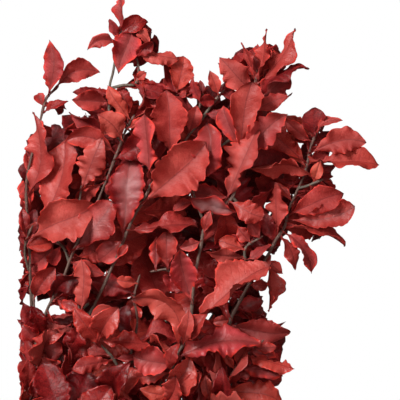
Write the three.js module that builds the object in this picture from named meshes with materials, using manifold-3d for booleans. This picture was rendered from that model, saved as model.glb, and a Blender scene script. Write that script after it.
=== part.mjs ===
// A tied bunch of preserved pittosporum, dyed red, lying on a flat surface.
// Ten cut stems fan out from an elastic band, and each carries side twigs and wavy leaves.
// Units are millimetres. The plan is x across, y towards the leafy end, z up from the surface.
// In the plan the band is at x = 0, y = 0, and the bunch leans LEAN degrees to the right.
import * as THREE from "three";
import Module from "manifold-3d";

const wasm = await Module();
wasm.setup();

// Driving dimensions of the bunch
const LEAN = THREE.MathUtils.degToRad(20); // of the bunch in its plan
const SLOPE = THREE.MathUtils.degToRad(7); // of the bare stems, up towards the leafy end
const TIE_HEIGHT = 16.4; // middle of the band above the surface
const BELOW_TIE = 70; // from the band to the cut ends
const ABOVE_TIE = 28; // stretch past the band where the stems still run side by side
const STEM_SPACING = 4.9; // from middle to middle in the band
const STEM_RADIUS = 2.1; // at the cut
const STEM_TIP_RADIUS = 0.75;
const TWIG_RADII = [1.05, 0.75]; // where it leaves the stem and at its tip
const CUT_SLANT = 0.6; // a cut end is longer on its upper side by this share of its width
const BUD = 3; // length of the point that closes a stem or a twig

// The elastic band
const BAND_GAP = 0.3; // to the stems
const BAND_STRAND = 3.1; // width of each of its turns
const BAND_TURNS = 3;
const BAND_THICKNESS = 1.7;
const BAND_VALLEY = 1.0; // thickness between two turns
const CORNER_STEPS = 2; // faces round each outer stem

// Leaves
const BLADE = 0.8; // thickness
const NARROW = 0.37; // least width of a leaf for its length: one that looks narrower is turned
const TURN_LIMIT = 1.15; // radians
const BASE_TAPER = 1.3; // power of the rise of a leaf's width from its stalk
const TIP_TAPER = 0.65; // power of its fall to the tip: a leaf is widest past its middle
const MARGIN_WAVE = 0.15; // height of the waves for the leaf's width
const ARCH = 0.06; // rise of a leaf's middle for its length
const FOLD = [-0.1, 0.55]; // rise of the margins for the half width, from leaf to leaf
const WAVE_SHARE = 1.12; // a leaf's width for the width seen between its waves
const PETIOLE = 0.08; // share of the length that is stalk
const PETIOLE_RADIUS = 0.7;
const LEAF_GAP = 1.15; // least distance between the middles of two blades
const TUBE_GAP = 0.75; // least distance from the middle of a blade to a stem's or a twig's side
const SISTER_GAP = 0.95; // the same between two blades of one stem
const BASE_STEP = 2.4; // between two leaves' bases along a twig

// Leaves and twigs that follow the rule
const FOLIAGE_START = 128; // bare stem between the band and the first leaf
const SPRAY_STEP = 78;
const SPRAY_ANGLE = 0.8; // radians off the stem
const SPRAY_LENGTH = [48, 72];
const LAST_SPRAY = 12; // least distance from the last spray to the stem's end
const SPRAY_SEED = 5000;
const STEM_LEAF_SEED = 20000;
const SPRAY_REACHES = [0.32, 0.48, 0.62, 0.75, 0.87, 0.99];
const STEM_LEAF_STEP = 34;
const LEAF_LENGTH = [42, 62];
const LEAF_WIDTH = [0.42, 0.52]; // for the length
const GOLDEN = 2.39996; // radians between one leaf and the next round a twig
const VIEW_BOTTOM = 222; // above this line of the plan the leaves by the rule stay behind
const RULE_TOP = 104; // no leaf by the rule rises higher

// Each stem: its place in the band, then its route in the plan and what it carries.
// A route is a list of [x, y, z].
// A leaf is [base x, base y, tip x, tip y, seen width, rise of the tip, bow to its right, arch].
// A leaf's base is the nearest point of its twig. A negative width turns the leaf the other way.
const STEMS = [
  {
    name: "leafy_stem_left_edge",
    place: [-1.5, 0],
    route: [
      [36, 140, 34], [56, 225, 48], [59, 285, 58], [58, 330, 66], [58, 352, 72],
      [56, 376, 75], [57, 393, 77], [61, 410, 79], [66, 430, 81], [70, 444, 82], [76, 450, 82],
    ],
    leaves: [
      [70, 445, 74, 483, 12, 6, 0.07, 0.08],
      [76, 449, 105, 462, 13, -4, -0.13, 0.1],
      [67, 438, 64, 447, 6, -4],
      [68, 434, 84, 443, 5, 2],
      [56, 378, 58, 434, 14, 9, 0.16],
    ],
    twigs: [
      {
        route: [[57, 330, 66], [55, 341, 72], [57, 351, 80], [60, 358, 82]],
        leaves: [
          [57, 349, 103, 368, 24, 16, -0.06, 0.06],
          [59, 356, 82, 418, 17, 8, 0.12, 0.05],
        ],
      },
    ],
  },
  {
    name: "leafy_stem_left",
    place: [-1, 1],
    route: [
      [33, 140, 44], [50, 222, 60], [62, 278, 74], [70, 303, 79], [80, 322, 82], [89, 345, 85],
      [102, 371, 87], [110, 390, 88], [119, 413, 89], [122, 421, 89], [127, 430, 90],
    ],
    leaves: [
      [86, 335, 109, 326, 9, 4],
      [90, 341, 116, 374, 20, 8, 0, 0.05],
      [120, 415, 104, 432, 14, 10, 0.12],
      [118, 413, 84, 430, 9, 4, 0.1],
      [116, 406, 81, 417, 12, 1, 0.16],
      [116, 402, 140, 417, 13, 6],
      [127, 428, 109, 451, 9, 4],
      [127, 429, 118, 453, 10, -4],
      [124, 424, 137, 430, 5, 6],
    ],
    twigs: [
      {
        route: [[96, 359, 86], [92, 371, 87], [93, 383, 88]],
        leaves: [[93, 382, 107, 418, 15, 7]],
      },
      {
        route: [[85, 335, 84], [81, 344, 77], [75, 350, 71]],
        leaves: [
          [76, 350, 53, 329, 12, -14, -0.08],
          [80, 347, 71, 332, 8, -10],
        ],
      },
      {
        route: [
          [119, 413, 88], [112, 432, 87], [112, 452, 86], [114, 460, 86], [117, 478, 85],
          [120, 490, 84],
        ],
        leaves: [
          [112, 441, 87, 442, 12, 6, 0, 0.06],
          [112, 446, 86, 447, 8, -6],
          [119, 488, 119, 514, 5.5, 4],
          [120, 488, 138, 494, 10, -4, -0.15],
          [119, 486, 112, 496, 5, 3],
          [117, 480, 97, 475, 8, 3, 0.25],
        ],
      },
      {
        route: [[118, 482, 84], [124, 488, 83], [130, 488, 82]],
        leaves: [
          [127, 487, 116, 460, 16, 7],
          [130, 487, 140, 489, 7, -3],
          [129, 487, 134, 464, 10, -12],
        ],
      },
      {
        route: [
          [112, 450, 86], [121, 452, 88], [129, 453, 88], [131, 463, 87], [128, 475, 86],
        ],
        leaves: [
          [128, 474, 158, 470, 8, 4, -0.03],
          [131, 455, 136, 461, 5, 2],
        ],
      },
      {
        route: [
          [50, 222, 60], [60, 246, 69], [62, 258, 71], [65, 270, 73], [66, 285, 74],
          [62, 300, 75], [61, 311, 75],
        ],
        leaves: [
          [65, 282, 53, 293, 10, 4],
          [65, 279, 80, 273, 13, 4],
          [62, 257, 52, 269, 10, 3],
          [61, 310, 76, 331, 12, 7, -0.06],
        ],
      },
      {
        route: [[45, 198, 55], [64, 215, 63], [75, 238, 68], [78, 256, 70]],
        leaves: [[77, 255, 67, 272, 12, 5]],
      },
    ],
  },
  {
    name: "leafy_stem_centre_left",
    place: [0, 1],
    route: [
      [47, 150, 52], [78, 245, 72], [94, 290, 80], [109, 322, 86], [117, 340, 88],
      [122, 352, 90], [128, 365, 92], [136, 379, 93], [141, 390, 93], [152, 404, 93],
      [163, 417, 92], [169, 430, 91], [173, 444, 90],
    ],
    leaves: [
      [121, 351, 104, 335, 13, -4],
      [122, 352, 122, 403, 20, 7, 0.03, 0.05],
      [136, 380, 134, 398, 10, -6],
      [133, 373, 178, 412, 26, 7, 0, 0.06],
      [139, 386, 135, 433, 10, 4],
      [152, 404, 151, 449, 19, 5, 0, 0.06],
      [165, 420, 170, 439, 10, 3],
      [172, 440, 165, 457, 5, 3],
      [173, 443, 172, 456, 4, -3],
      [124, 355, 170, 362, 10, -5],
      [116, 337, 124, 347, 5, 4],
    ],
    twigs: [
      {
        route: [[151, 403, 92], [154, 425, 85], [156, 447, 83]],
        leaves: [[156, 446, 162, 472, 14, 3]],
      },
      {
        route: [[164, 419, 92], [173, 430, 90], [180, 440, 88], [186, 447, 87]],
        leaves: [
          [184, 445, 178, 462, 7, 3],
          [184, 446, 171, 441, 7, 4],
          [175, 433, 188, 432, 6, 2],
        ],
      },
    ],
  },
  {
    name: "leafy_stem_centre_low",
    place: [-0.5, 0],
    route: [
      [54, 128, 38], [92, 192, 56], [112, 228, 68], [118, 245, 72], [122, 262, 76],
      [126, 275, 78], [130, 295, 79], [128, 312, 80], [131, 324, 81],
    ],
    leaves: [
      [129, 308, 129, 296, 8, -3],
      [128, 314, 98, 324, 12, -1],
      [131, 321, 116, 323, 7, 4],
    ],
    twigs: [
      {
        route: [[92, 192, 56], [87, 222, 62], [90, 243, 66], [93, 257, 67]],
        leaves: [
          [92, 255, 120, 270, 9, 9],
          [91, 250, 108, 260, 7, 2],
          [90, 244, 116, 262, 7, -3],
        ],
      },
      {
        route: [[121, 258, 75], [114, 271, 81], [103, 284, 87], [95, 296, 88], [92, 304, 88]],
        leaves: [
          [112, 273, 97, 278, 9, 3],
          [114, 270, 87, 266, 10, 5],
          [104, 283, 140, 282, 9, 6],
          [93, 301, 96, 338, 11, 5],
          [94, 299, 86, 276, 12, -9],
          [96, 296, 121, 297, 8, 4, -0.18, 0.12],
        ],
      },
    ],
  },
  {
    name: "leafy_stem_centre",
    place: [1, 1],
    route: [
      [64, 130, 43], [108, 196, 62], [138, 236, 76], [150, 256, 84], [156, 273, 88],
      [161, 282, 89], [166, 291, 90], [166, 301, 90], [168, 325, 91], [172, 345, 92],
      [175, 360, 92], [182, 370, 92], [193, 378, 92], [196, 395, 91], [198, 410, 90],
      [203, 426, 89], [207, 443, 87], [209, 460, 85],
    ],
    leaves: [
      [156, 273, 127, 316, 15, 8, 0.3],
      [156, 270, 213, 283, 14, 5, -0.1, 0.04],
      [155, 268, 126, 272, 17, 2],
      [153, 262, 125, 258, 8, -5],
      [167, 293, 215, 338, 15, 7, 0, 0.05],
      [167, 307, 156, 344, 15, 4, 0, -0.08],
      [172, 349, 158, 344, 7, 3],
      [174, 354, 178, 370, 6, 4],
      [193, 376, 165, 382, 12, -3],
      [194, 377, 213, 363, 13, 3],
      [193, 378, 210, 424, 14, 5],
      [193, 380, 197, 413, 8, 11],
      [197, 411, 185, 438, 9, 4],
      [198, 412, 203, 454, 17, 8],
      [199, 411, 228, 436, 16, 4],
      [207, 447, 185, 472, 15, 5, 0.05, 0.1],
      [206, 444, 184, 469, 9, -6],
      [209, 458, 200, 481, 4, 2],
      [209, 459, 212, 489, 5, 5, 0.1],
      [209, 459, 210, 480, 8, -4],
      [209, 459, 237, 489, 9, 3, 0, 0.05],
      [209, 457, 244, 464, 9, 6, -0.08],
      [207, 442, 232, 461, 16, -3],
      [207, 440, 230, 446, 9, 4],
    ],
    twigs: [
      {
        route: [[138, 236, 76], [148, 242, 80], [157, 247, 82]],
        leaves: [[155, 246, 131, 250, 9, 5]],
      },
      {
        route: [[167, 312, 90], [158, 322, 86], [150, 330, 84], [141, 329, 82]],
        leaves: [
          [150, 330, 149, 356, 12, 2],
          [142, 329, 143, 352, 8, -3],
        ],
      },
      {
        route: [[175, 360, 92], [170, 372, 93], [166, 385, 93]],
        leaves: [[166, 384, 177, 428, 18, 5, 0.14]],
      },
      {
        route: [[193, 378, 92], [198, 372, 91], [199, 366, 90]],
        leaves: [[198, 367, 164, 376, 10, 8]],
      },
    ],
  },
  {
    name: "leafy_stem_right_low",
    place: [1.5, 0],
    route: [
      [77, 124, 39], [128, 186, 58], [164, 222, 70], [183, 245, 76], [190, 256, 78],
      [197, 267, 80], [203, 275, 81], [212, 282, 82],
    ],
    leaves: [
      [179, 240, 174, 260, 7, 3],
      [172, 231, 172, 262, 7, -4],
      [194, 264, 187, 275, 5, 3],
      [197, 265, 227, 262, 9, 4],
      [202, 273, 234, 264, 6, 7],
      [204, 275, 224, 273, 7, -4],
      [206, 278, 223, 279, 6, 2],
      [184, 248, 228, 244, 14, 2, -0.06],
    ],
    twigs: [
      {
        route: [[180, 241, 75], [188, 248, 73], [197, 260, 72]],
        leaves: [[196, 258, 206, 262, 6, 3]],
      },
    ],
  },
  {
    name: "leafy_stem_right",
    place: [0.5, 0],
    route: [
      [67, 124, 34], [116, 184, 50], [156, 234, 62], [176, 262, 68], [187, 284, 72],
      [193, 299, 75], [204, 320, 77], [217, 340, 79], [222, 350, 80], [228, 359, 80],
      [230, 369, 80], [235, 380, 79], [240, 391, 78], [243, 401, 77], [245, 411, 76],
      [249, 421, 75],
    ],
    leaves: [
      [190, 293, 232, 285, 16, 5],
      [195, 303, 213, 310, 10, -3],
      [192, 297, 180, 295, 6, 2],
      [204, 320, 218, 319, 7, -4],
      [199, 310, 172, 328, 8, 6],
      [217, 339, 218, 302, 7, 4, -0.17],
      [218, 341, 226, 327, 7, -3],
      [226, 355, 246, 327, 8, 3, -0.15],
      [224, 353, 234, 329, 8, -3, -0.13],
      [228, 359, 269, 348, 7, 3, -0.06],
      [229, 363, 275, 369, 15, 4, -0.04, 0.05],
      [230, 366, 266, 383, 16, -4],
      [228, 360, 222, 388, 9, 6],
      [225, 355, 213, 368, 9, -2],
      [244, 407, 282, 417, 15, 3, -0.08],
      [243, 403, 290, 404, 14, 5],
      [248, 417, 247, 438, 14, 3],
      [249, 420, 266, 429, 5, 3, -0.18],
      [247, 415, 226, 431, 8, 3],
      [243, 400, 212, 427, 14, 3],
      [244, 408, 225, 423, 10, -5],
    ],
    twigs: [
      {
        route: [[208, 326, 78], [202, 335, 82], [202, 345, 84], [211, 351, 84]],
        leaves: [
          [201, 338, 175, 341, 8, 5],
          [202, 343, 183, 350, 10, 1],
          [205, 348, 196, 358, 8, 3],
          [211, 351, 203, 363, 8, 4],
        ],
      },
      {
        route: [[237, 384, 79], [244, 386, 81], [251, 389, 82]],
        leaves: [
          [249, 389, 207, 392, 9, 7, 0.22],
          [250, 389, 251, 403, 7, 2],
        ],
      },
    ],
  },
  {
    name: "leafy_stem_back_left",
    place: [-1, -1],
    route: [[32, 150, 26], [70, 250, 32], [94, 330, 38], [112, 390, 42], [120, 432, 46]],
    leaves: [],
    twigs: [],
  },
  {
    name: "leafy_stem_back_centre",
    place: [0, -1],
    route: [[52, 150, 25], [104, 262, 30], [146, 350, 34], [166, 400, 38], [180, 435, 42]],
    leaves: [],
    twigs: [],
  },
  {
    name: "leafy_stem_back_right",
    place: [1, -1],
    route: [[68, 146, 24], [140, 240, 30], [188, 310, 34], [214, 360, 38], [232, 400, 42]],
    leaves: [],
    twigs: [],
  },
];

// The outline that the leaves by the rule keep inside, in the plan
const OUTLINE = [
  [53, 240], [53, 428], [68, 440], [82, 445], [108, 462], [140, 468], [158, 452], [178, 444],
  [198, 470], [236, 478], [240, 432], [262, 422], [264, 400], [262, 380], [264, 352],
  [240, 343], [222, 330], [214, 312], [226, 290], [224, 262], [222, 238], [196, 205],
  [140, 145], [90, 96], [30, 92], [8, 130], [20, 190],
];

// Gaps between the leaves where light shows through: [x, y, radius] in the plan
const LIGHT_GAPS = [
  [60, 310, 3], [68, 308, 5], [76, 303, 3], [83, 302, 2], [73, 395, 5], [57, 340, 3],
  [78, 445, 4], [121, 421, 3], [85, 426, 1], [133, 444, 3], [122, 460, 5], [115, 450, 2],
  [141, 461, 7], [167, 441, 3], [186, 443, 2], [208, 454, 3], [223, 425, 3], [236, 411, 3],
  [232, 389, 1], [232, 376, 2], [217, 372, 3], [211, 358, 1], [213, 342, 2], [225, 340, 2],
  [235, 346, 3], [177, 298, 3], [200, 305, 1], [214, 275, 2], [218, 328, 2],
];

const UP = new THREE.Vector3(0, 0, 1);
const point = ([x, y, z]) => new THREE.Vector3(x, y, z);

// A seeded source of numbers from 0 to 1
function randomSource(seed) {
  let state = seed >>> 0;
  return () => {
    state = (state + 0x6d2b79f5) >>> 0;
    let t = Math.imul(state ^ (state >>> 15), state | 1);
    t ^= t + Math.imul(t ^ (t >>> 7), t | 61);
    return ((t ^ (t >>> 14)) >>> 0) / 4294967296;
  };
}

const between = (range, share) => range[0] + (range[1] - range[0]) * share;

// A place in the bare part of the bunch: across, up, and along it from the band
function inBundle(across, up, along) {
  const run = Math.cos(SLOPE) * along - Math.sin(SLOPE) * up;
  return new THREE.Vector3(
    Math.cos(LEAN) * across + Math.sin(LEAN) * run,
    Math.cos(LEAN) * run - Math.sin(LEAN) * across,
    TIE_HEIGHT + Math.sin(SLOPE) * along + Math.cos(SLOPE) * up,
  );
}

// A route's point and direction at a share of its length
function along(route, share) {
  const lengths = route.slice(1).map((p, i) => p.distanceTo(route[i]));
  let left = share * lengths.reduce((sum, length) => sum + length, 0);
  let i = 0;
  while (i < lengths.length - 1 && left > lengths[i]) {
    left -= lengths[i];
    i += 1;
  }
  const direction = route[i + 1].clone().sub(route[i]).normalize();
  return { at: route[i].clone().addScaledVector(direction, left), direction };
}

function routeLength(route) {
  return route.slice(1).reduce((sum, p, i) => sum + p.distanceTo(route[i]), 0);
}

// How far along a route its point lies that is nearest in the plan
function nearestReach(route, x, y) {
  let best = 0;
  let bestDistance = Infinity;
  let done = 0;
  const flat = new THREE.Vector3(x, y, 0);
  for (let i = 1; i < route.length; i++) {
    const a = route[i - 1];
    const b = route[i];
    const line = new THREE.Line3(a.clone().setZ(0), b.clone().setZ(0));
    const share = line.closestPointToPointParameter(flat, true);
    const at = a.clone().lerp(b, share);
    const distance = Math.hypot(at.x - x, at.y - y);
    if (distance < bestDistance) {
      best = done + share * a.distanceTo(b);
      bestDistance = distance;
    }
    done += a.distanceTo(b);
  }
  return best;
}

// Where the leaves of a twig start: at its nearest points, with no two nearer than BASE_STEP
function leafBases(route, rows) {
  const taken = [];
  for (const [x, y] of rows) {
    let reach = nearestReach(route, x, y);
    while (taken.some((other) => Math.abs(other - reach) < BASE_STEP - 0.01)) reach -= BASE_STEP / 2;
    taken.push(reach);
  }
  return taken.map((reach) => along(route, reach / routeLength(route)).at);
}

// The directions of a leaf at u, from 0 at its base to 1 at its tip
function leafFrame(leaf, u) {
  const chord = leaf.tip.clone().sub(leaf.base);
  const length = chord.length();
  const ahead = chord.clone().divideScalar(length);
  const side = ahead.clone().cross(leaf.up).normalize();
  const face = side.clone().cross(ahead);
  const bulge = side
    .clone()
    .multiplyScalar(leaf.bow * length)
    .addScaledVector(face, leaf.arch * length);
  const middle = leaf.base
    .clone()
    .addScaledVector(chord, u)
    .addScaledVector(bulge, 4 * u * (1 - u));
  const tangent = chord.addScaledVector(bulge, 4 - 8 * u).normalize();
  const roll = leaf.roll + leaf.twist * (u - 0.5);
  const across = side.multiplyScalar(Math.cos(roll)).addScaledVector(face, Math.sin(roll));
  across.addScaledVector(tangent, -across.dot(tangent)).normalize();
  return { middle, across, face: across.clone().cross(tangent) };
}

// Half the width of a leaf at u
function halfWidth(leaf, u) {
  const blade = Math.max(0, (u - PETIOLE) / (1 - PETIOLE));
  const widest = BASE_TAPER / (BASE_TAPER + TIP_TAPER);
  const rise = (blade / widest) ** BASE_TAPER;
  const full = (leaf.width / 2) * rise * ((1 - blade) / (1 - widest)) ** TIP_TAPER;
  return Math.max(full, PETIOLE_RADIUS * (1 - u));
}

// A point of a leaf's surface: v runs from -1 to 1 across it, and lift is along its face
function leafPoint(leaf, u, v, lift) {
  const { middle, across, face } = leafFrame(leaf, u);
  const half = halfWidth(leaf, u);
  const sign = v > 0 ? leaf.rightWave : leaf.leftWave;
  const wave = sign * Math.sin((2 * Math.PI * (u - leaf.period / 4)) / leaf.period);
  const rise = leaf.fold * Math.abs(v) * half + MARGIN_WAVE * leaf.width * wave * v * v;
  return middle.addScaledVector(across, v * half).addScaledVector(face, rise + lift);
}

// Where a leaf's outline and midrib have their points, for its length
function leafStations(length, plain) {
  if (length < 24 || plain) return { rim: [0.4, 0.76], mids: [0.56], period: 0.72 };
  if (length < 44) return { rim: [0.3, 0.58, 0.84], mids: [0.52], period: 0.54 };
  return { rim: [0.24, 0.46, 0.68, 0.88], mids: [0.38, 0.72], period: 0.42 };
}

// The triangles of a strip between two lists of points that share their first and last
function strip(points, left, right) {
  const faces = [];
  let i = 0;
  let j = 0;
  while (i < left.length - 1 || j < right.length - 1) {
    const leftNext = i < left.length - 1 ? points[left[i + 1]].u : Infinity;
    const rightNext = j < right.length - 1 ? points[right[j + 1]].u : Infinity;
    const next = leftNext <= rightNext ? left[i + 1] : right[j + 1];
    if (left[i] !== right[j] && next !== left[i] && next !== right[j])
      faces.push([left[i], right[j], next]);
    if (leftNext <= rightNext) i += 1;
    else j += 1;
  }
  return faces;
}

// A leaf's points in u and v, the triangles between them and its outline, seen from its face
function leafNet(leaf) {
  const { rim, mids } = leafStations(leaf.length, leaf.plain);
  const points = [{ u: 0, v: 0 }];
  const add = (u, v) => points.push({ u, v }) - 1;
  const right = rim.map((u) => add(u, 1));
  const tip = add(1, 0);
  const left = rim.map((u) => add(u, -1));
  const middle = mids.map((u) => add(u, 0));
  const faces = [
    [0, right[0], left[0]],
    [middle[0], right[0], left[0]],
    ...strip(points, [...middle, tip], [...right, tip]),
    ...strip(points, [...middle, tip], [...left, tip]),
  ].map(([a, b, c]) => {
    const [p, q, r] = [points[a], points[b], points[c]];
    const area = (q.v - p.v) * (r.u - p.u) - (r.v - p.v) * (q.u - p.u);
    return area > 0 ? [a, b, c] : [a, c, b];
  });
  return { points, faces, tip, outline: [0, ...right, tip, ...left.slice().reverse()] };
}

// A closed solid from points and triangles
function solid(points, faces) {
  const mesh = new wasm.Mesh({
    numProp: 3,
    vertProperties: new Float32Array(points.flatMap((p) => [p.x, p.y, p.z])),
    triVerts: new Uint32Array(faces.flat()),
  });
  return new wasm.Manifold(mesh);
}

// A blade of even thickness whose two faces are split alike, drawn to a point at its tip
function leafSolid(leaf) {
  const net = leafNet(leaf);
  const count = net.points.length;
  const lifted = (lift) => net.points.map(({ u, v }) => leafPoint(leaf, u, v, lift));
  const points = [...lifted(BLADE / 2), ...lifted(-BLADE / 2)];
  const under = (i) => (i === net.tip ? i : i + count);
  points[net.tip] = leafPoint(leaf, 1, 0, 0);
  const walls = net.outline.flatMap((p, i) => {
    const q = net.outline[(i + 1) % net.outline.length];
    return [
      [under(p), under(q), q],
      [under(p), q, p],
    ];
  });
  const faces = [
    ...net.faces,
    ...net.faces.map(([a, b, c]) => [under(a), under(c), under(b)]),
    ...walls.filter(([a, b, c]) => a !== b && b !== c && c !== a),
  ];
  points.splice(net.tip + count, 1);
  const shifted = faces.map((face) => face.map((i) => (i > net.tip + count ? i - 1 : i)));
  return solid(points, shifted);
}

// A tapered rod with flat sides along a route, with a slanted cut or a flat start and a pointed end
function rodSolid(rod) {
  const { route, sides } = rod;
  const total = routeLength(route);
  const points = [];
  const faces = [];
  let done = 0;
  let out = null;
  route.forEach((at, i) => {
    const before = i > 0 ? at.clone().sub(route[i - 1]).normalize() : new THREE.Vector3();
    const after =
      i < route.length - 1 ? route[i + 1].clone().sub(at).normalize() : new THREE.Vector3();
    const ahead = before.add(after).normalize();
    out ??= Math.abs(ahead.z) < 0.9 ? UP.clone() : new THREE.Vector3(1, 0, 0);
    out.addScaledVector(ahead, -out.dot(ahead)).normalize();
    const side = ahead.clone().cross(out);
    done += i > 0 ? at.distanceTo(route[i - 1]) : 0;
    const radius = rod.radius + (rod.tipRadius - rod.radius) * (done / total);
    for (let k = 0; k < sides; k++) {
      const angle = (2 * Math.PI * (k + 0.5)) / sides;
      const p = at
        .clone()
        .addScaledVector(out, radius * Math.cos(angle))
        .addScaledVector(side, radius * Math.sin(angle));
      if (i === 0) p.addScaledVector(ahead, -rod.slant * radius * Math.cos(angle));
      points.push(p);
    }
    if (i === route.length - 1) points.push(at.clone().addScaledVector(ahead, BUD));
  });
  for (let k = 1; k < sides - 1; k++) faces.push([0, k + 1, k]);
  for (let i = 0; i < route.length - 1; i++)
    for (let k = 0; k < sides; k++) {
      const a = i * sides + k;
      const b = i * sides + ((k + 1) % sides);
      faces.push([a, b, b + sides], [a, b + sides, a + sides]);
    }
  const last = (route.length - 1) * sides;
  for (let k = 0; k < sides; k++)
    faces.push([last + k, last + ((k + 1) % sides), last + sides]);
  return solid(points, faces);
}

// What is placed already: blades as triangles and rods as lines, each with its box
const placed = [];

function bladeShape(leaf) {
  const net = leafNet(leaf);
  const points = net.points.map(({ u, v }) => leafPoint(leaf, u, v, 0));
  const pieces = net.faces.map((face) => {
    const [a, b, c] = face.map((i) => points[i]);
    return {
      triangle: new THREE.Triangle(a, b, c),
      lines: [new THREE.Line3(a, b), new THREE.Line3(b, c), new THREE.Line3(c, a)],
      box: new THREE.Box3().setFromPoints([a, b, c]),
      root: face.includes(0),
    };
  });
  return { pieces, points, box: new THREE.Box3().setFromPoints(points), radius: 0 };
}

function rodShape(rod) {
  const end = rod.route.at(-1);
  const ahead = end.clone().sub(rod.route.at(-2)).normalize();
  const points = [...rod.route, end.clone().addScaledVector(ahead, BUD)];
  const pieces = points.slice(1).map((p, i) => {
    const line = new THREE.Line3(points[i], p);
    return { lines: [line], box: new THREE.Box3().setFromPoints([points[i], p]) };
  });
  const box = new THREE.Box3().setFromPoints(points);
  return { pieces, points, box, radius: rod.radius };
}

const ray = new THREE.Ray();
const spot = new THREE.Vector3();

function pierces(line, triangle) {
  const length = line.distance();
  ray.origin.copy(line.start);
  ray.direction.copy(line.end).sub(line.start).divideScalar(length);
  const hit = ray.intersectTriangle(triangle.a, triangle.b, triangle.c, false, spot);
  return hit !== null && hit.distanceTo(line.start) <= length;
}

function cornersNear(lines, triangle, reach) {
  return lines.some((line) =>
    [line.start, line.end].some(
      (corner) => triangle.closestPointToPoint(corner, spot).distanceTo(corner) < reach,
    ),
  );
}

// Whether two pieces, each a triangle or a line, come nearer than reach
function near(p, q, reach) {
  if (p.lines.some((a) => q.lines.some((b) => a.distanceSqToLine3(b) < reach * reach)))
    return true;
  if (q.triangle)
    if (p.lines.some((a) => pierces(a, q.triangle)) || cornersNear(p.lines, q.triangle, reach))
      return true;
  if (p.triangle)
    return q.lines.some((b) => pierces(b, p.triangle)) || cornersNear(q.lines, p.triangle, reach);
  return false;
}

const grown = new THREE.Box3();

// Whether a shape is clear of what is placed, bar the root of a leaf among those of its own stem
function isClear(shape, owner, strict) {
  return placed.every((other) => {
    const own = other.node === owner.node;
    if (own && (!strict || other.id === owner.parent)) return true;
    const bothRods = shape.radius > 0 && other.shape.radius > 0;
    if (own && bothRods) return true;
    const sides = shape.radius + other.shape.radius;
    const leafReach = own ? SISTER_GAP : LEAF_GAP;
    const reach = sides > 0 ? sides + TUBE_GAP : leafReach;
    grown.copy(other.shape.box).expandByScalar(reach);
    if (!grown.intersectsBox(shape.box)) return true;
    return !shape.pieces.some((p) =>
      other.shape.pieces.some((q) => {
        if (own && p.root && (q.root || sides > 0)) return false;
        grown.copy(q.box).expandByScalar(reach);
        return grown.intersectsBox(p.box) && near(p, q, reach);
      }),
    );
  });
}

function makeLeaf(base, tip, seed, extra = {}) {
  const random = randomSource(seed);
  const length = base.distanceTo(tip);
  const draws = [random(), random(), random(), random(), random()];
  return {
    base,
    tip,
    length,
    up: UP,
    roll: 0,
    twist: (draws[0] - 0.5) * 0.5,
    bow: (draws[1] - 0.5) * 0.06,
    arch: 0.02 + 0.05 * draws[2],
    leftWave: draws[3] < 0.5 ? 1 : -1,
    rightWave: draws[3] % 0.5 < 0.25 ? 1 : -1,
    fold: between(FOLD, draws[4]),
    period: leafStations(length, extra.plain).period,
    ...extra,
  };
}

// How far a hand-placed leaf may be lifted and turned to clear its neighbours, nearest first
const SHIFTS = [];
for (let step = 0; step <= 11; step++)
  for (const turn of [0, 1, -1])
    for (const way of step ? [1, -1] : [1])
      SHIFTS.push({ lift: way * step * 2 + turn * 0.4, turn: turn * 0.3, cost: step + 2 * turn * turn });
SHIFTS.sort((a, b) => a.cost - b.cost);

// A leaf whose ends are given in the plan
function handLeaf(base, row, seed) {
  const [, , tipX, tipY, width, rise, bow = 0, arch = ARCH] = row;
  const length = Math.hypot(tipX - base.x, tipY - base.y);
  const seen = Math.abs(width) * WAVE_SHARE;
  const full = Math.max(seen, NARROW * length);
  const turn = Math.min(TURN_LIMIT, Math.acos(seen / full)) * Math.sign(width);
  return SHIFTS.map((shift) => {
    const tip = new THREE.Vector3(tipX, tipY, base.z + rise + shift.lift);
    return makeLeaf(base, tip, seed, { width: full, roll: turn + shift.turn, bow, arch });
  });
}

function insideOutline(p) {
  let inside = false;
  OUTLINE.forEach(([x1, y1], i) => {
    const [x2, y2] = OUTLINE[(i + 1) % OUTLINE.length];
    if (y1 > p.y !== y2 > p.y && p.x < x1 + ((p.y - y1) / (y2 - y1)) * (x2 - x1)) inside = !inside;
  });
  return inside;
}

// Whether a shape by the rule stays over the surface, inside the outline and off the light gaps
function isWelcome(shape) {
  const low = shape.radius + BLADE;
  if (shape.points.some((p) => p.z < low || p.z > RULE_TOP || !insideOutline(p))) return false;
  return LIGHT_GAPS.every(([x, y, radius]) => {
    const gap = new THREE.Vector3(x, y, 0);
    if (shape.box.distanceToPoint(gap.setZ(shape.box.min.z)) > radius + shape.radius) return true;
    gap.setZ(0);
    return shape.pieces.every((piece) => {
      const flat = piece.lines.map((line) => line.start.clone().setZ(0));
      if (flat.length < 3) flat.push(piece.lines[0].end.clone().setZ(0), flat[0]);
      const triangle = new THREE.Triangle(...flat);
      return triangle.closestPointToPoint(gap, spot).distanceTo(gap) > radius + shape.radius;
    });
  });
}

// Directions off a twig: turn is round it and angle is away from it
function offTwig(direction, turn, angle) {
  const out = UP.clone();
  if (Math.abs(direction.z) > 0.9) out.set(1, 0, 0);
  out.addScaledVector(direction, -out.dot(direction)).normalize();
  const side = direction.clone().cross(out);
  return direction
    .clone()
    .multiplyScalar(Math.cos(angle))
    .addScaledVector(out, Math.sin(angle) * Math.cos(turn))
    .addScaledVector(side, Math.sin(angle) * Math.sin(turn));
}

const TURNS = [0, 0.5, -0.5, 1, -1, 1.6, -1.6, 2.2, -2.2, 3.1];
const ANGLES = [0.95, 0.65, 1.25];

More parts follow.
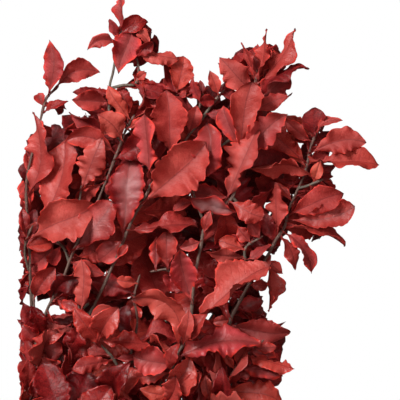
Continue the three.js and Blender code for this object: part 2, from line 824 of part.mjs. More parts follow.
// A leaf by the rule, at a share of its twig
function ruleLeaf(route, share, turn, seed) {
  const { at, direction } = along(route, share);
  const random = randomSource(seed);
  const length = between(LEAF_LENGTH, random());
  const width = length * between(LEAF_WIDTH, random());
  const roll = (random() - 0.5) * 0.5;
  return ANGLES.flatMap((angle) =>
    TURNS.map((more) => {
      const ahead = offTwig(direction, turn + more, angle);
      const tip = at.clone().addScaledVector(ahead, length);
      const up = direction.clone().addScaledVector(UP, 1.6).normalize();
      return makeLeaf(at, tip, seed + 1, { width, roll, up, arch: 0.03, plain: true });
    }),
  ).filter((leaf) => leaf.tip.y < VIEW_BOTTOM || leaf.tip.z < leaf.base.z - 2);
}

// A side twig by the rule, which bends back towards its stem's direction
function ruleTwig(stem, share, turn, seed) {
  const { at, direction } = along(stem.route, share);
  const random = randomSource(seed);
  const length = between(SPRAY_LENGTH, random());
  return TURNS.map((more) => {
    const ahead = offTwig(direction, turn + more, SPRAY_ANGLE);
    const route = [at];
    for (const bend of [0, 0.35, 0.6]) {
      const step = ahead.clone().lerp(direction, bend).setLength(length / 3);
      route.push(route.at(-1).clone().add(step));
    }
    return { route, radius: TWIG_RADII[0], tipRadius: TWIG_RADII[1], sides: 3, slant: 0 };
  }).filter((rod) => rod.route[1].y < VIEW_BOTTOM || rod.route[3].z < rod.route[0].z - 8);
}

let nextId = 0;

function place(shape, solidShape, owner) {
  const id = nextId;
  nextId += 1;
  placed.push({ shape, solid: solidShape, node: owner.node, parent: owner.parent, id });
  return id;
}

function placeRod(rod, owner) {
  return place(rodShape(rod), rodSolid(rod), owner);
}

const bladeMaker = { shapeOf: bladeShape, solidOf: leafSolid };
const rodMaker = { shapeOf: rodShape, solidOf: rodSolid };

// Places the first candidate that passes the first test that any of them passes, or none
function placeFirst(candidates, owner, tests, maker) {
  const shapes = candidates.map(maker.shapeOf);
  for (const test of tests) {
    const chosen = shapes.findIndex((shape) => test(shape));
    if (chosen < 0) continue;
    const made = candidates[chosen];
    return { id: place(shapes[chosen], maker.solidOf(made), owner), made };
  }
  return null;
}

// The stems and the twigs by hand, then the leaves by hand, then the rest by the rule
function growStems() {
  const twigs = [];
  STEMS.forEach((stem, node) => {
    const across = stem.place[0] * STEM_SPACING;
    const up = stem.place[1] * STEM_SPACING * Math.sin(Math.PI / 3);
    const route = [
      inBundle(across, up, -BELOW_TIE - 4 * ((node * 3) % 4)),
      inBundle(across, up, ABOVE_TIE),
      ...stem.route.map(point),
    ];
    const rod = { route, radius: STEM_RADIUS, tipRadius: STEM_TIP_RADIUS, sides: 5 };
    const id = placeRod({ ...rod, slant: CUT_SLANT }, { node, parent: -1 });
    twigs.push({ ...rod, id, node, leaves: stem.leaves, main: true });
    for (const twig of stem.twigs) {
      const small = { route: twig.route.map(point), radius: TWIG_RADII[0], sides: 4 };
      small.tipRadius = TWIG_RADII[1];
      const twigId = placeRod({ ...small, slant: 0 }, { node, parent: id });
      twigs.push({ ...small, id: twigId, node, leaves: twig.leaves, main: false });
    }
  });
  return twigs;
}

function growHandLeaves(twigs) {
  for (const twig of twigs) {
    const bases = leafBases(twig.route, twig.leaves);
    twig.leaves.forEach((row, i) => {
      const owner = { node: twig.node, parent: twig.id };
      const tests = [
        (shape) => isClear(shape, owner, true),
        (shape) => isClear(shape, owner, false),
      ];
      placeFirst(handLeaf(bases[i], row, twig.id * 100 + i), owner, tests, bladeMaker);
    });
  }
}

// The sprays of one stem, each with its leaves
function growSprays(stem, start, total) {
  const owner = { node: stem.node, parent: stem.id };
  const test = (shape) => isWelcome(shape) && isClear(shape, owner, true);
  const offset = (stem.node * 17) % 30;
  for (let j = 0; start + j * SPRAY_STEP < total - LAST_SPRAY; j++) {
    const share = (start + j * SPRAY_STEP + offset) / total;
    if (share > 0.99) continue;
    const seed = SPRAY_SEED + stem.node * 500 + j * 20;
    const rods = ruleTwig(stem, share, j * GOLDEN + stem.node, seed);
    const found = placeFirst(rods, owner, [test], rodMaker);
    if (!found) continue;
    const leafOwner = { node: stem.node, parent: found.id };
    const leafTest = (shape) => isWelcome(shape) && isClear(shape, leafOwner, true);
    SPRAY_REACHES.forEach((reach, k) => {
      const leaves = ruleLeaf(found.made.route, reach, k * GOLDEN, seed + 1 + k);
      placeFirst(leaves, leafOwner, [leafTest], bladeMaker);
    });
  }
}

function growByRule(twigs) {
  for (const stem of twigs.filter((twig) => twig.main)) {
    const total = routeLength(stem.route);
    const start = BELOW_TIE + FOLIAGE_START;
    growSprays(stem, start, total);
    const owner = { node: stem.node, parent: stem.id };
    const test = (shape) => isWelcome(shape) && isClear(shape, owner, true);
    for (let j = 0; start + j * STEM_LEAF_STEP < total; j++) {
      const share = (start + j * STEM_LEAF_STEP) / total;
      const seed = STEM_LEAF_SEED + stem.node * 500 + j * 10;
      placeFirst(ruleLeaf(stem.route, share, j * GOLDEN + 1, seed), owner, [test], bladeMaker);
    }
  }
}

// The band's path round the outer stems, with the direction out of the bundle at each point
function bandPath() {
  const row = STEM_SPACING * Math.sin(Math.PI / 3);
  const corners = [
    [STEM_SPACING, row], [-STEM_SPACING, row], [-1.5 * STEM_SPACING, 0],
    [-STEM_SPACING, -row], [STEM_SPACING, -row], [1.5 * STEM_SPACING, 0],
  ];
  return corners.flatMap(([x, z], i) => {
    const first = Math.PI / 2 + (i - 0.5 - 0.5) * (Math.PI / 3);
    const turns = [];
    for (let k = 0; k <= CORNER_STEPS; k++) {
      const angle = first + (k / CORNER_STEPS) * (Math.PI / 3);
      turns.push({ x, z, out: [Math.cos(angle), Math.sin(angle)] });
    }
    return turns;
  });
}

function bandGeometry() {
  const inner = STEM_RADIUS + BAND_GAP;
  const half = (BAND_TURNS * BAND_STRAND) / 2;
  const profile = [[inner, -half]];
  for (let turn = 0; turn < BAND_TURNS; turn++) {
    const low = turn * BAND_STRAND - half;
    profile.push([inner + BAND_VALLEY, low + (turn ? 0 : 0.4)]);
    profile.push([inner + BAND_THICKNESS, low + BAND_STRAND / 2]);
  }
  profile.push([inner + BAND_VALLEY, half - 0.4], [inner, half]);
  const path = bandPath();
  const points = path.flatMap(({ x, z, out }) =>
    profile.map(([away, run]) => inBundle(x + away * out[0], z + away * out[1], run)),
  );
  const faces = [];
  const size = profile.length;
  path.forEach((_, i) => {
    for (let k = 0; k < size; k++) {
      const a = i * size + k;
      const b = i * size + ((k + 1) % size);
      const c = ((i + 1) % path.length) * size;
      const d = c + ((k + 1) % size);
      faces.push([a, b, d], [a, d, c + k]);
    }
  });
  return solid(points, faces);
}

// A mesh of three.js from a solid
function meshOf(shape, name, material) {
  const made = shape.getMesh();
  const geometry = new THREE.BufferGeometry();
  geometry.setAttribute("position", new THREE.BufferAttribute(made.vertProperties, 3));
  geometry.setIndex(new THREE.BufferAttribute(made.triVerts, 1));
  const mesh = new THREE.Mesh(geometry, material);
  mesh.name = name;
  return mesh;
}

const leafMaterial = new THREE.MeshStandardMaterial({ color: 0xa83a32, roughness: 0.55, metalness: 0 });
const bandMaterial = new THREE.MeshStandardMaterial({ color: 0xb9a58a, roughness: 0.7, metalness: 0 });

const twigs = growStems();
growHandLeaves(twigs);
growByRule(twigs);

const bunch = new THREE.Group();
STEMS.forEach((stem, node) => {
  const solids = placed.filter((entry) => entry.node === node).map((entry) => entry.solid);
  bunch.add(meshOf(wasm.Manifold.union(solids), stem.name, leafMaterial));
});
bunch.add(meshOf(bandGeometry(), "elastic_band", bandMaterial));
bunch.rotation.z = LEAN;
bunch.updateMatrixWorld(true);

// The origin is under the middle of the whole bunch, on the surface
const whole = new THREE.Box3().setFromObject(bunch, true);
const middle = whole.getCenter(new THREE.Vector3());
bunch.position.set(-middle.x, -middle.y, -whole.min.z);

const root = new THREE.Group();
root.add(bunch);

export default root;
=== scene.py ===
# A tied bunch of preserved pittosporum, dyed red, lying on a flat surface.
# The stems, twigs and leaves of the solid model are found again by the rules that placed them,
# and each gets a finer form: smooth wavy blades with a midrib and rippled margins, round twigs
# with bark, and an elastic band with three turns. Small leaves fill the bunch between them.
# The plan is in millimetres: x across, y towards the leafy end, z up from the surface.
import math
import operator
import random

import bpy
import numpy as np
from mathutils import Matrix, Vector
from mathutils.bvhtree import BVHTree
from mathutils.kdtree import KDTree


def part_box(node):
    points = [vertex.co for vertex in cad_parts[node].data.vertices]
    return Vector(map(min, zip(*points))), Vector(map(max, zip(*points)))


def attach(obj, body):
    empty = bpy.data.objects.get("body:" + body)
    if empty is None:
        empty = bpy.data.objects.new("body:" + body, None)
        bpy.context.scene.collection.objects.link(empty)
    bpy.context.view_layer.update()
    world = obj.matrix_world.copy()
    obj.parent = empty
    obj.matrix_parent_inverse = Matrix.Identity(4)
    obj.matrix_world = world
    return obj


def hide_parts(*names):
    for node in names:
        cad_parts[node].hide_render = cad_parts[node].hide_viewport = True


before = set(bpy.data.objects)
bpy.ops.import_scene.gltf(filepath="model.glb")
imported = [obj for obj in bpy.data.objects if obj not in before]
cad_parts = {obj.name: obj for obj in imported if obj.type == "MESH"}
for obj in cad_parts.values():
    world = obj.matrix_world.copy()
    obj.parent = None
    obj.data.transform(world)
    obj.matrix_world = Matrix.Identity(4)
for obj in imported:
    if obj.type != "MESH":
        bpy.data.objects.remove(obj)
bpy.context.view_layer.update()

# Driving dimensions of the bunch
LEAN = math.radians(20)  # of the bunch in its plan
SLOPE = math.radians(7)  # of the bare stems, up towards the leafy end
TIE_HEIGHT = 16.4  # middle of the band above the surface
BELOW_TIE = 70  # from the band to the cut ends
ABOVE_TIE = 28  # stretch past the band where the stems still run side by side
STEM_SPACING = 4.9  # from middle to middle in the band
STEM_RADIUS = 2.1  # at the cut
STEM_TIP_RADIUS = 0.75
CUT_SLANT = 0.6  # a cut end is longer on its upper side by this share of its width
CUT_STEP = 4  # from one of the four lengths of the cut ends to the next
BUD = 3  # length of the point that closes a stem or a twig
BUD_RINGS = ((0.9, 1.12), (1.8, 0.86), (2.5, 0.45))  # how far on, and the radius for the tip's
TWIG_RADII = (1.05, 0.75)  # where it leaves the stem and at its tip
SWELLING = 0.3  # of a stem or a twig where a leaf starts
SWELLING_REACH = 1.8  # along it
ROD_STEPS = {"stem": 2.6, "twig": 1.8, "spray": 1.8}  # from ring to ring
ROD_SIDES = {"stem": 12, "twig": 8, "spray": 8}
PITH_RING = 0.82  # radius of the inner ring of a cut face, for the outer one

# The elastic band
BAND_GAP = 0.3  # to the stems
BAND_STRAND = 3.1  # width of each of its turns
BAND_TURNS = 3
BAND_THICKNESS = 1.7
BAND_VALLEY = 0.93  # how far it thins between two turns: at 1 to half its thickness
BAND_EDGE = 0.35  # bevel of its inner edges
BAND_DRIFT = (0.22, 0.1)  # of its turns along the stems, once and three times round
BAND_UNEVEN = 0.03  # of its thickness
CORNER_POINTS = 9  # round each outer stem
STRAND_POINTS = 9  # over each turn

# Leaves
NARROW = 0.37  # least width of a leaf for its length: one that looks narrower is turned
TURN_LIMIT = 1.15  # radians
BASE_TAPER = 1.3  # power of the rise of a leaf's width from its stalk
TIP_TAPER = 0.65  # power of its fall to the tip: a leaf is widest past its middle
MARGIN_WAVE = 0.15  # height of the waves for the leaf's width
ARCH = 0.06  # rise of a leaf's middle for its length
FOLD = (-0.1, 0.55)  # rise of the margins for the half width, from leaf to leaf
WAVE_SHARE = 1.12  # a leaf's width for the width seen between its waves
PETIOLE = 0.08  # share of the length that is stalk
PETIOLE_RADIUS = 0.7
BASE_STEP = 2.4  # between two leaves' bases along a twig
WAVE_PERIODS = ((24, 0.72), (44, 0.54), (math.inf, 0.42))  # share of the length, up to each length
TWIST = 0.5  # radians, half of it is the most from stalk to tip either way
LIFT = 2  # a step by which a listed leaf is moved clear of its neighbours
LIFT_STEPS = 12
TURN_LIFT = 0.4  # further lift of one that is turned too
CLEAR_TURN = 0.3  # radians

# Leaves and twigs that follow the rule
FOLIAGE_START = 128  # bare stem between the band and the first leaf
SPRAY_STEP = 78
SPRAY_SHIFT = (17, 30)  # of the sprays along each further stem, and where it starts again
SPRAY_ANGLE = 0.8  # radians off the stem
SPRAY_LENGTH = (48, 72)
SPRAY_BENDS = (0, 0.35, 0.6)  # share by which its pieces turn back to the stem's direction
LAST_SPRAY = 12  # least distance from the last spray to the stem's end
LAST_SHARE = 0.99  # of the stem's length, past which no spray starts
SPRAY_REACHES = (0.32, 0.48, 0.62, 0.75, 0.87, 0.99)
STEM_LEAF_STEP = 34
LEAF_LENGTH = (42, 62)
LEAF_WIDTH = (0.42, 0.52)  # for the length
RULE_ROLL = 0.5  # radians
RULE_UP = 1.6  # how far a leaf's face turns up, for how far it follows its twig
RULE_ARCH = 0.03
RULE_BOW = 0.06  # half of it is the most either way
FOUND_WITHIN = 5e-5  # metres from a leaf's tip to its vertex in the solid model
GOLDEN = 2.39996  # radians between one leaf and the next round a twig
TURNS = (0, 0.5, -0.5, 1, -1, 1.6, -1.6, 2.2, -2.2, 3.1)  # more round the twig, as they were tried
ANGLES = (0.95, 0.65, 1.25)  # off the twig, as they were tried

# Fine form of a leaf, in millimetres
BLADE = 0.55  # thickness at the midrib
STALK = 1.3  # thickness of the stalk
GROOVE = (0.28, 0.75)  # depth and half width of the midrib's groove above
RIDGE = (0.5, 0.9)  # height and half width of its ridge below
ON_SURFACE = 0.1  # gap to the surface under a blade that lies on it
RIPPLE_LENGTH = 6.0  # from one ripple of the margin to the next
RIPPLE_HEIGHT = 0.10  # for the leaf's width
INDENT = 0.26  # depth of the scallops in the outline, for the half width
TEETH = 0.3  # of the small teeth on the scallops, for theirs
ROLL = (-0.3, 0.5)  # of the margins, up or down, for the half width
CUP = (-0.35, 0.3)  # of the blade across its midrib, for the half width
CURL = (-0.15, 0.07)  # of the tip, up or down, for the length
HOOK = (-0.08, 0.08)  # of the tip, sideways, for the length
LONG_TIPS = (0.9, 1.55)  # share of TIP_TAPER: above 1 a tip is more pointed
SHORT_TIPS = (1.2, 2.1)
LONG_LEAF = 40  # a longer one has one of the LONG_TIPS
VEIN_STEP = 4.6  # between two side veins
ACROSS = (-1, -0.93, -0.82, -0.6, -0.34, -0.12, 0, 0.12, 0.34, 0.6, 0.82, 0.93, 1)
FILL_ACROSS = (-1, -0.85, -0.5, -0.12, 0, 0.12, 0.5, 0.85, 1)

# From one row of points along a leaf to the next
STEPS = {"hand": 1.05, "rule": 1.5, "cover": 1.6, "fill": 2.4}

# From dark at 0 to bright at 1: the mean and the spread for each kind of leaf
DARK_AND_SHADED_TONE = (0.3, 0.08)
BRIGHT_AND_LIT_TONE = (0.92, 0.08)
HAND_TONE = (0.66, 0.08)
COVER_TONE = (0.5, 0.28)
DARK_COVER_TONE = (0.36, 0.28)
# The leaves between are darker on the whole: partly their own dye, partly painted shade of the deep
# bunch
FILL_TONE = (0.36, 0.16)
SHADE_BLACK_BELOW = 28  # below this height painted shade makes the leaves between nearly black
SHADE_FADES_OVER = 42  # and this much higher the painted shade is gone and they have their full tone

# Listed leaves that are darker, brighter or paler than the rest, by their tips in the plan
# Their darker and brighter tones are partly each leaf's own dye, partly painted shade on leaves that
# lie deeper and painted light on leaves turned to the light
DARK_AND_SHADED_TIPS = {
    (64, 447), (84, 443), (84, 430), (71, 332), (86, 447), (138, 494), (112, 496), (134, 464),
    (140, 489), (165, 457), (172, 456), (171, 441), (188, 432), (98, 324), (86, 276), (197, 413),
    (213, 310), (172, 328), (213, 368), (116, 374), (140, 417), (118, 453), (247, 438), (244, 464),
}
BRIGHT_AND_LIT_TIPS = {
    (58, 434), (103, 368), (82, 418), (104, 432), (53, 329), (104, 335), (178, 412), (135, 433),
    (134, 398), (96, 338), (127, 316), (213, 283), (126, 272), (215, 338), (156, 344), (158, 344),
    (210, 424), (185, 438), (203, 454), (228, 436), (185, 472), (177, 428), (282, 417), (107, 418),
    (121, 297), (175, 341), (251, 403), (232, 285), (228, 244),
}
PALE_AND_SHEEN_TIPS = {(164, 376): 1, (116, 374): 0.3}  # and how pale: a painted sheen on the first, the leaf's own paler colour on the second
POINTED_TIPS = {
    (74, 483), (105, 462), (58, 434), (84, 430), (119, 514), (138, 494), (97, 475), (212, 489),
    (210, 480), (237, 489), (244, 464), (232, 461), (230, 446), (228, 436), (226, 431), (266, 429),
    (84, 443), (87, 442),
}
SHARP_TIPS = (1.7, 2.4)  # share of TIP_TAPER for those
OTHER_LOOKS = {
    # This leaf's pale patch is a painted grey-pink sheen
    (122, 403): {"hue": 0.95, "pale": 0.5, "tone": 0.5, "gloss": 0.5},
    (215, 338): {"hue": 0.45, "gloss": 0.4},
    (103, 368): {"hue": 0.4, "gloss": 0.3},
    (82, 418): {"hue": 0.5, "tone": 0.72},
    (170, 362): {"hue": 0.65, "tone": 0.48},
}
OTHER_TAPERS = {(116, 460): (0.7, 1.25)}  # widest nearer its stalk
OTHER_BOWS = {
    (218, 302): -0.03, (275, 369): 0.05, (290, 404): 0.04, (244, 464): -0.13, (237, 489): 0.06,
    (105, 462): -0.17, (185, 472): -0.04, (158, 470): 0.03,
}
DARK_LEFT_OF = 105  # the covering leaves on the left of the plan are darker
GLOSSY_BELOW = 370  # below this line of the plan the leaves get glossier
GLOSSY_WITHIN = 60  # all the way over this stretch
LEAF_SPECULAR = 0.35

# The first seeds of the random draws
SPRAY_SEED = 5000
STEM_LEAF_SEED = 20000
FILL_SEED = 40000
COVER_SEED = 60000
PLACE_SEED = 20
LOOK_SEED = 900
BAND_SEED = 3

# The camera, in the plan's millimetres and in metres
VIEW_MIDDLE = (171.6, 376.2, 90)
VIEW_SPAN = 0.264
CAMERA_HEIGHT = 2.0
CAMERA_FAR = 50
SENSOR = 36

# The surround, in metres
SURROUND = 8.0  # from the middle of the floor to its edge
SURROUND_FOOT = -1
SURROUND_SIDES = 32
SURROUND_LIGHT = (1, 0.45, 0.41, 1)  # faint and red, like that which the leaves throw on one another
SURROUND_STRENGTH = 0.22

# The small leaves between those of the solid model
CELL = 1.0  # of the map of what is covered
MAP_ORIGIN = np.array([-40.0, 60.0])
MAP_SIZE = (360, 480)
MARKED = (np.linspace(0.05, 0.97, 80), np.linspace(-0.86, 0.86, 35))  # what of a leaf covers cells
DRAFTED = (np.linspace(0.1, 0.97, 18), np.linspace(-1, 1, 9))  # what has to lie over free cells
FIRST_PLACE = 3  # on a stem or a twig where a small leaf may start
PLACE_STEP = 3.2  # to the next
FREE_FROM = 0.2  # share of its length from which a small leaf crosses nothing
SOLID_FROM = 0.12  # share of its length from which a leaf is in the way of others
LOWEST = 2  # no small leaf reaches lower
LOWEST_TIP = 5
SMALL_BOW = (-0.14, 0.14)
FILL_FOOT = 100  # the lowest line of the plan that they reach
FILL_TRIES = 44000
SOFT_AFTER = 0.5  # share of the tries after which they may touch one another
RECOUNT = 40  # tries between two counts of the empty cells
ENOUGH = 30  # of them may stay empty
# How many places are tried, how far past its target a leaf goes, for the distance and in
# millimetres, and how many cells it has to close
FIRM = {"near": 24, "past": (1.15, 1.7), "more": (2, 12), "closes": 4}
SOFT = {"near": 80, "past": (1.02, 1.4), "more": (2, 8), "closes": 2}
FILL_LENGTH = (16, 56)
FILL_RISE = (-0.75, 0.12)  # of its tip, for the length
FILL_REACH = 56  # farthest base from the cell that a leaf is to cover
CROWDED = 10  # how much farther a place counts for each leaf that starts there
NEARER = 1.4  # power by which the nearer places are chosen more often
FILL_SPREAD = 0.4  # radians either side of the way to the cell
UNDER_HAND = 0.8  # least depth under the listed leaves
STALK_ROWS = 3  # rows of a leaf's points that may lie higher, at its stalk
FILL_LOOKS = {"kind": "fill", "width": (0.34, 0.55), "roll": 0.45, "arch": (0.01, 0.1)}
FILL_LOOKS["fold"] = (0, 0.5)
COVER_LOOKS = {"kind": "cover", "width": (0.36, 0.58), "roll": 0.7, "arch": (0.05, 0.22)}
COVER_LOOKS["fold"] = (0, 0.85)
COVER_LENGTH = (20, 36)
COVER_RISE = (0.0, 0.65)  # of its tip, for the length
COVER_SPREAD = 1.4  # radians either side of the stem's direction
COVER_TRIES = 8
ON_HAND = 0.35  # most of a covering leaf's points that may lie over listed leaves
SPRAY_ON_HAND = 0.8  # and of those in the spray
COVER_FOOT = 165  # below this line of the plan the stems are nearly bare
COVER_TOP = 285  # and above this one they show between the leaves by hand
COVER_LEFT = 78  # bar those on the left, up to the next line
COVER_LEFT_TOP = 352
COVER_HEIGHT = 108  # no covering leaf rises higher
SPRAY_BOX = (108, 462, 150, 512)  # the dense spray at the top, in the plan
SPRAY_COVER = (10, 19)  # length of the leaves that are added to it

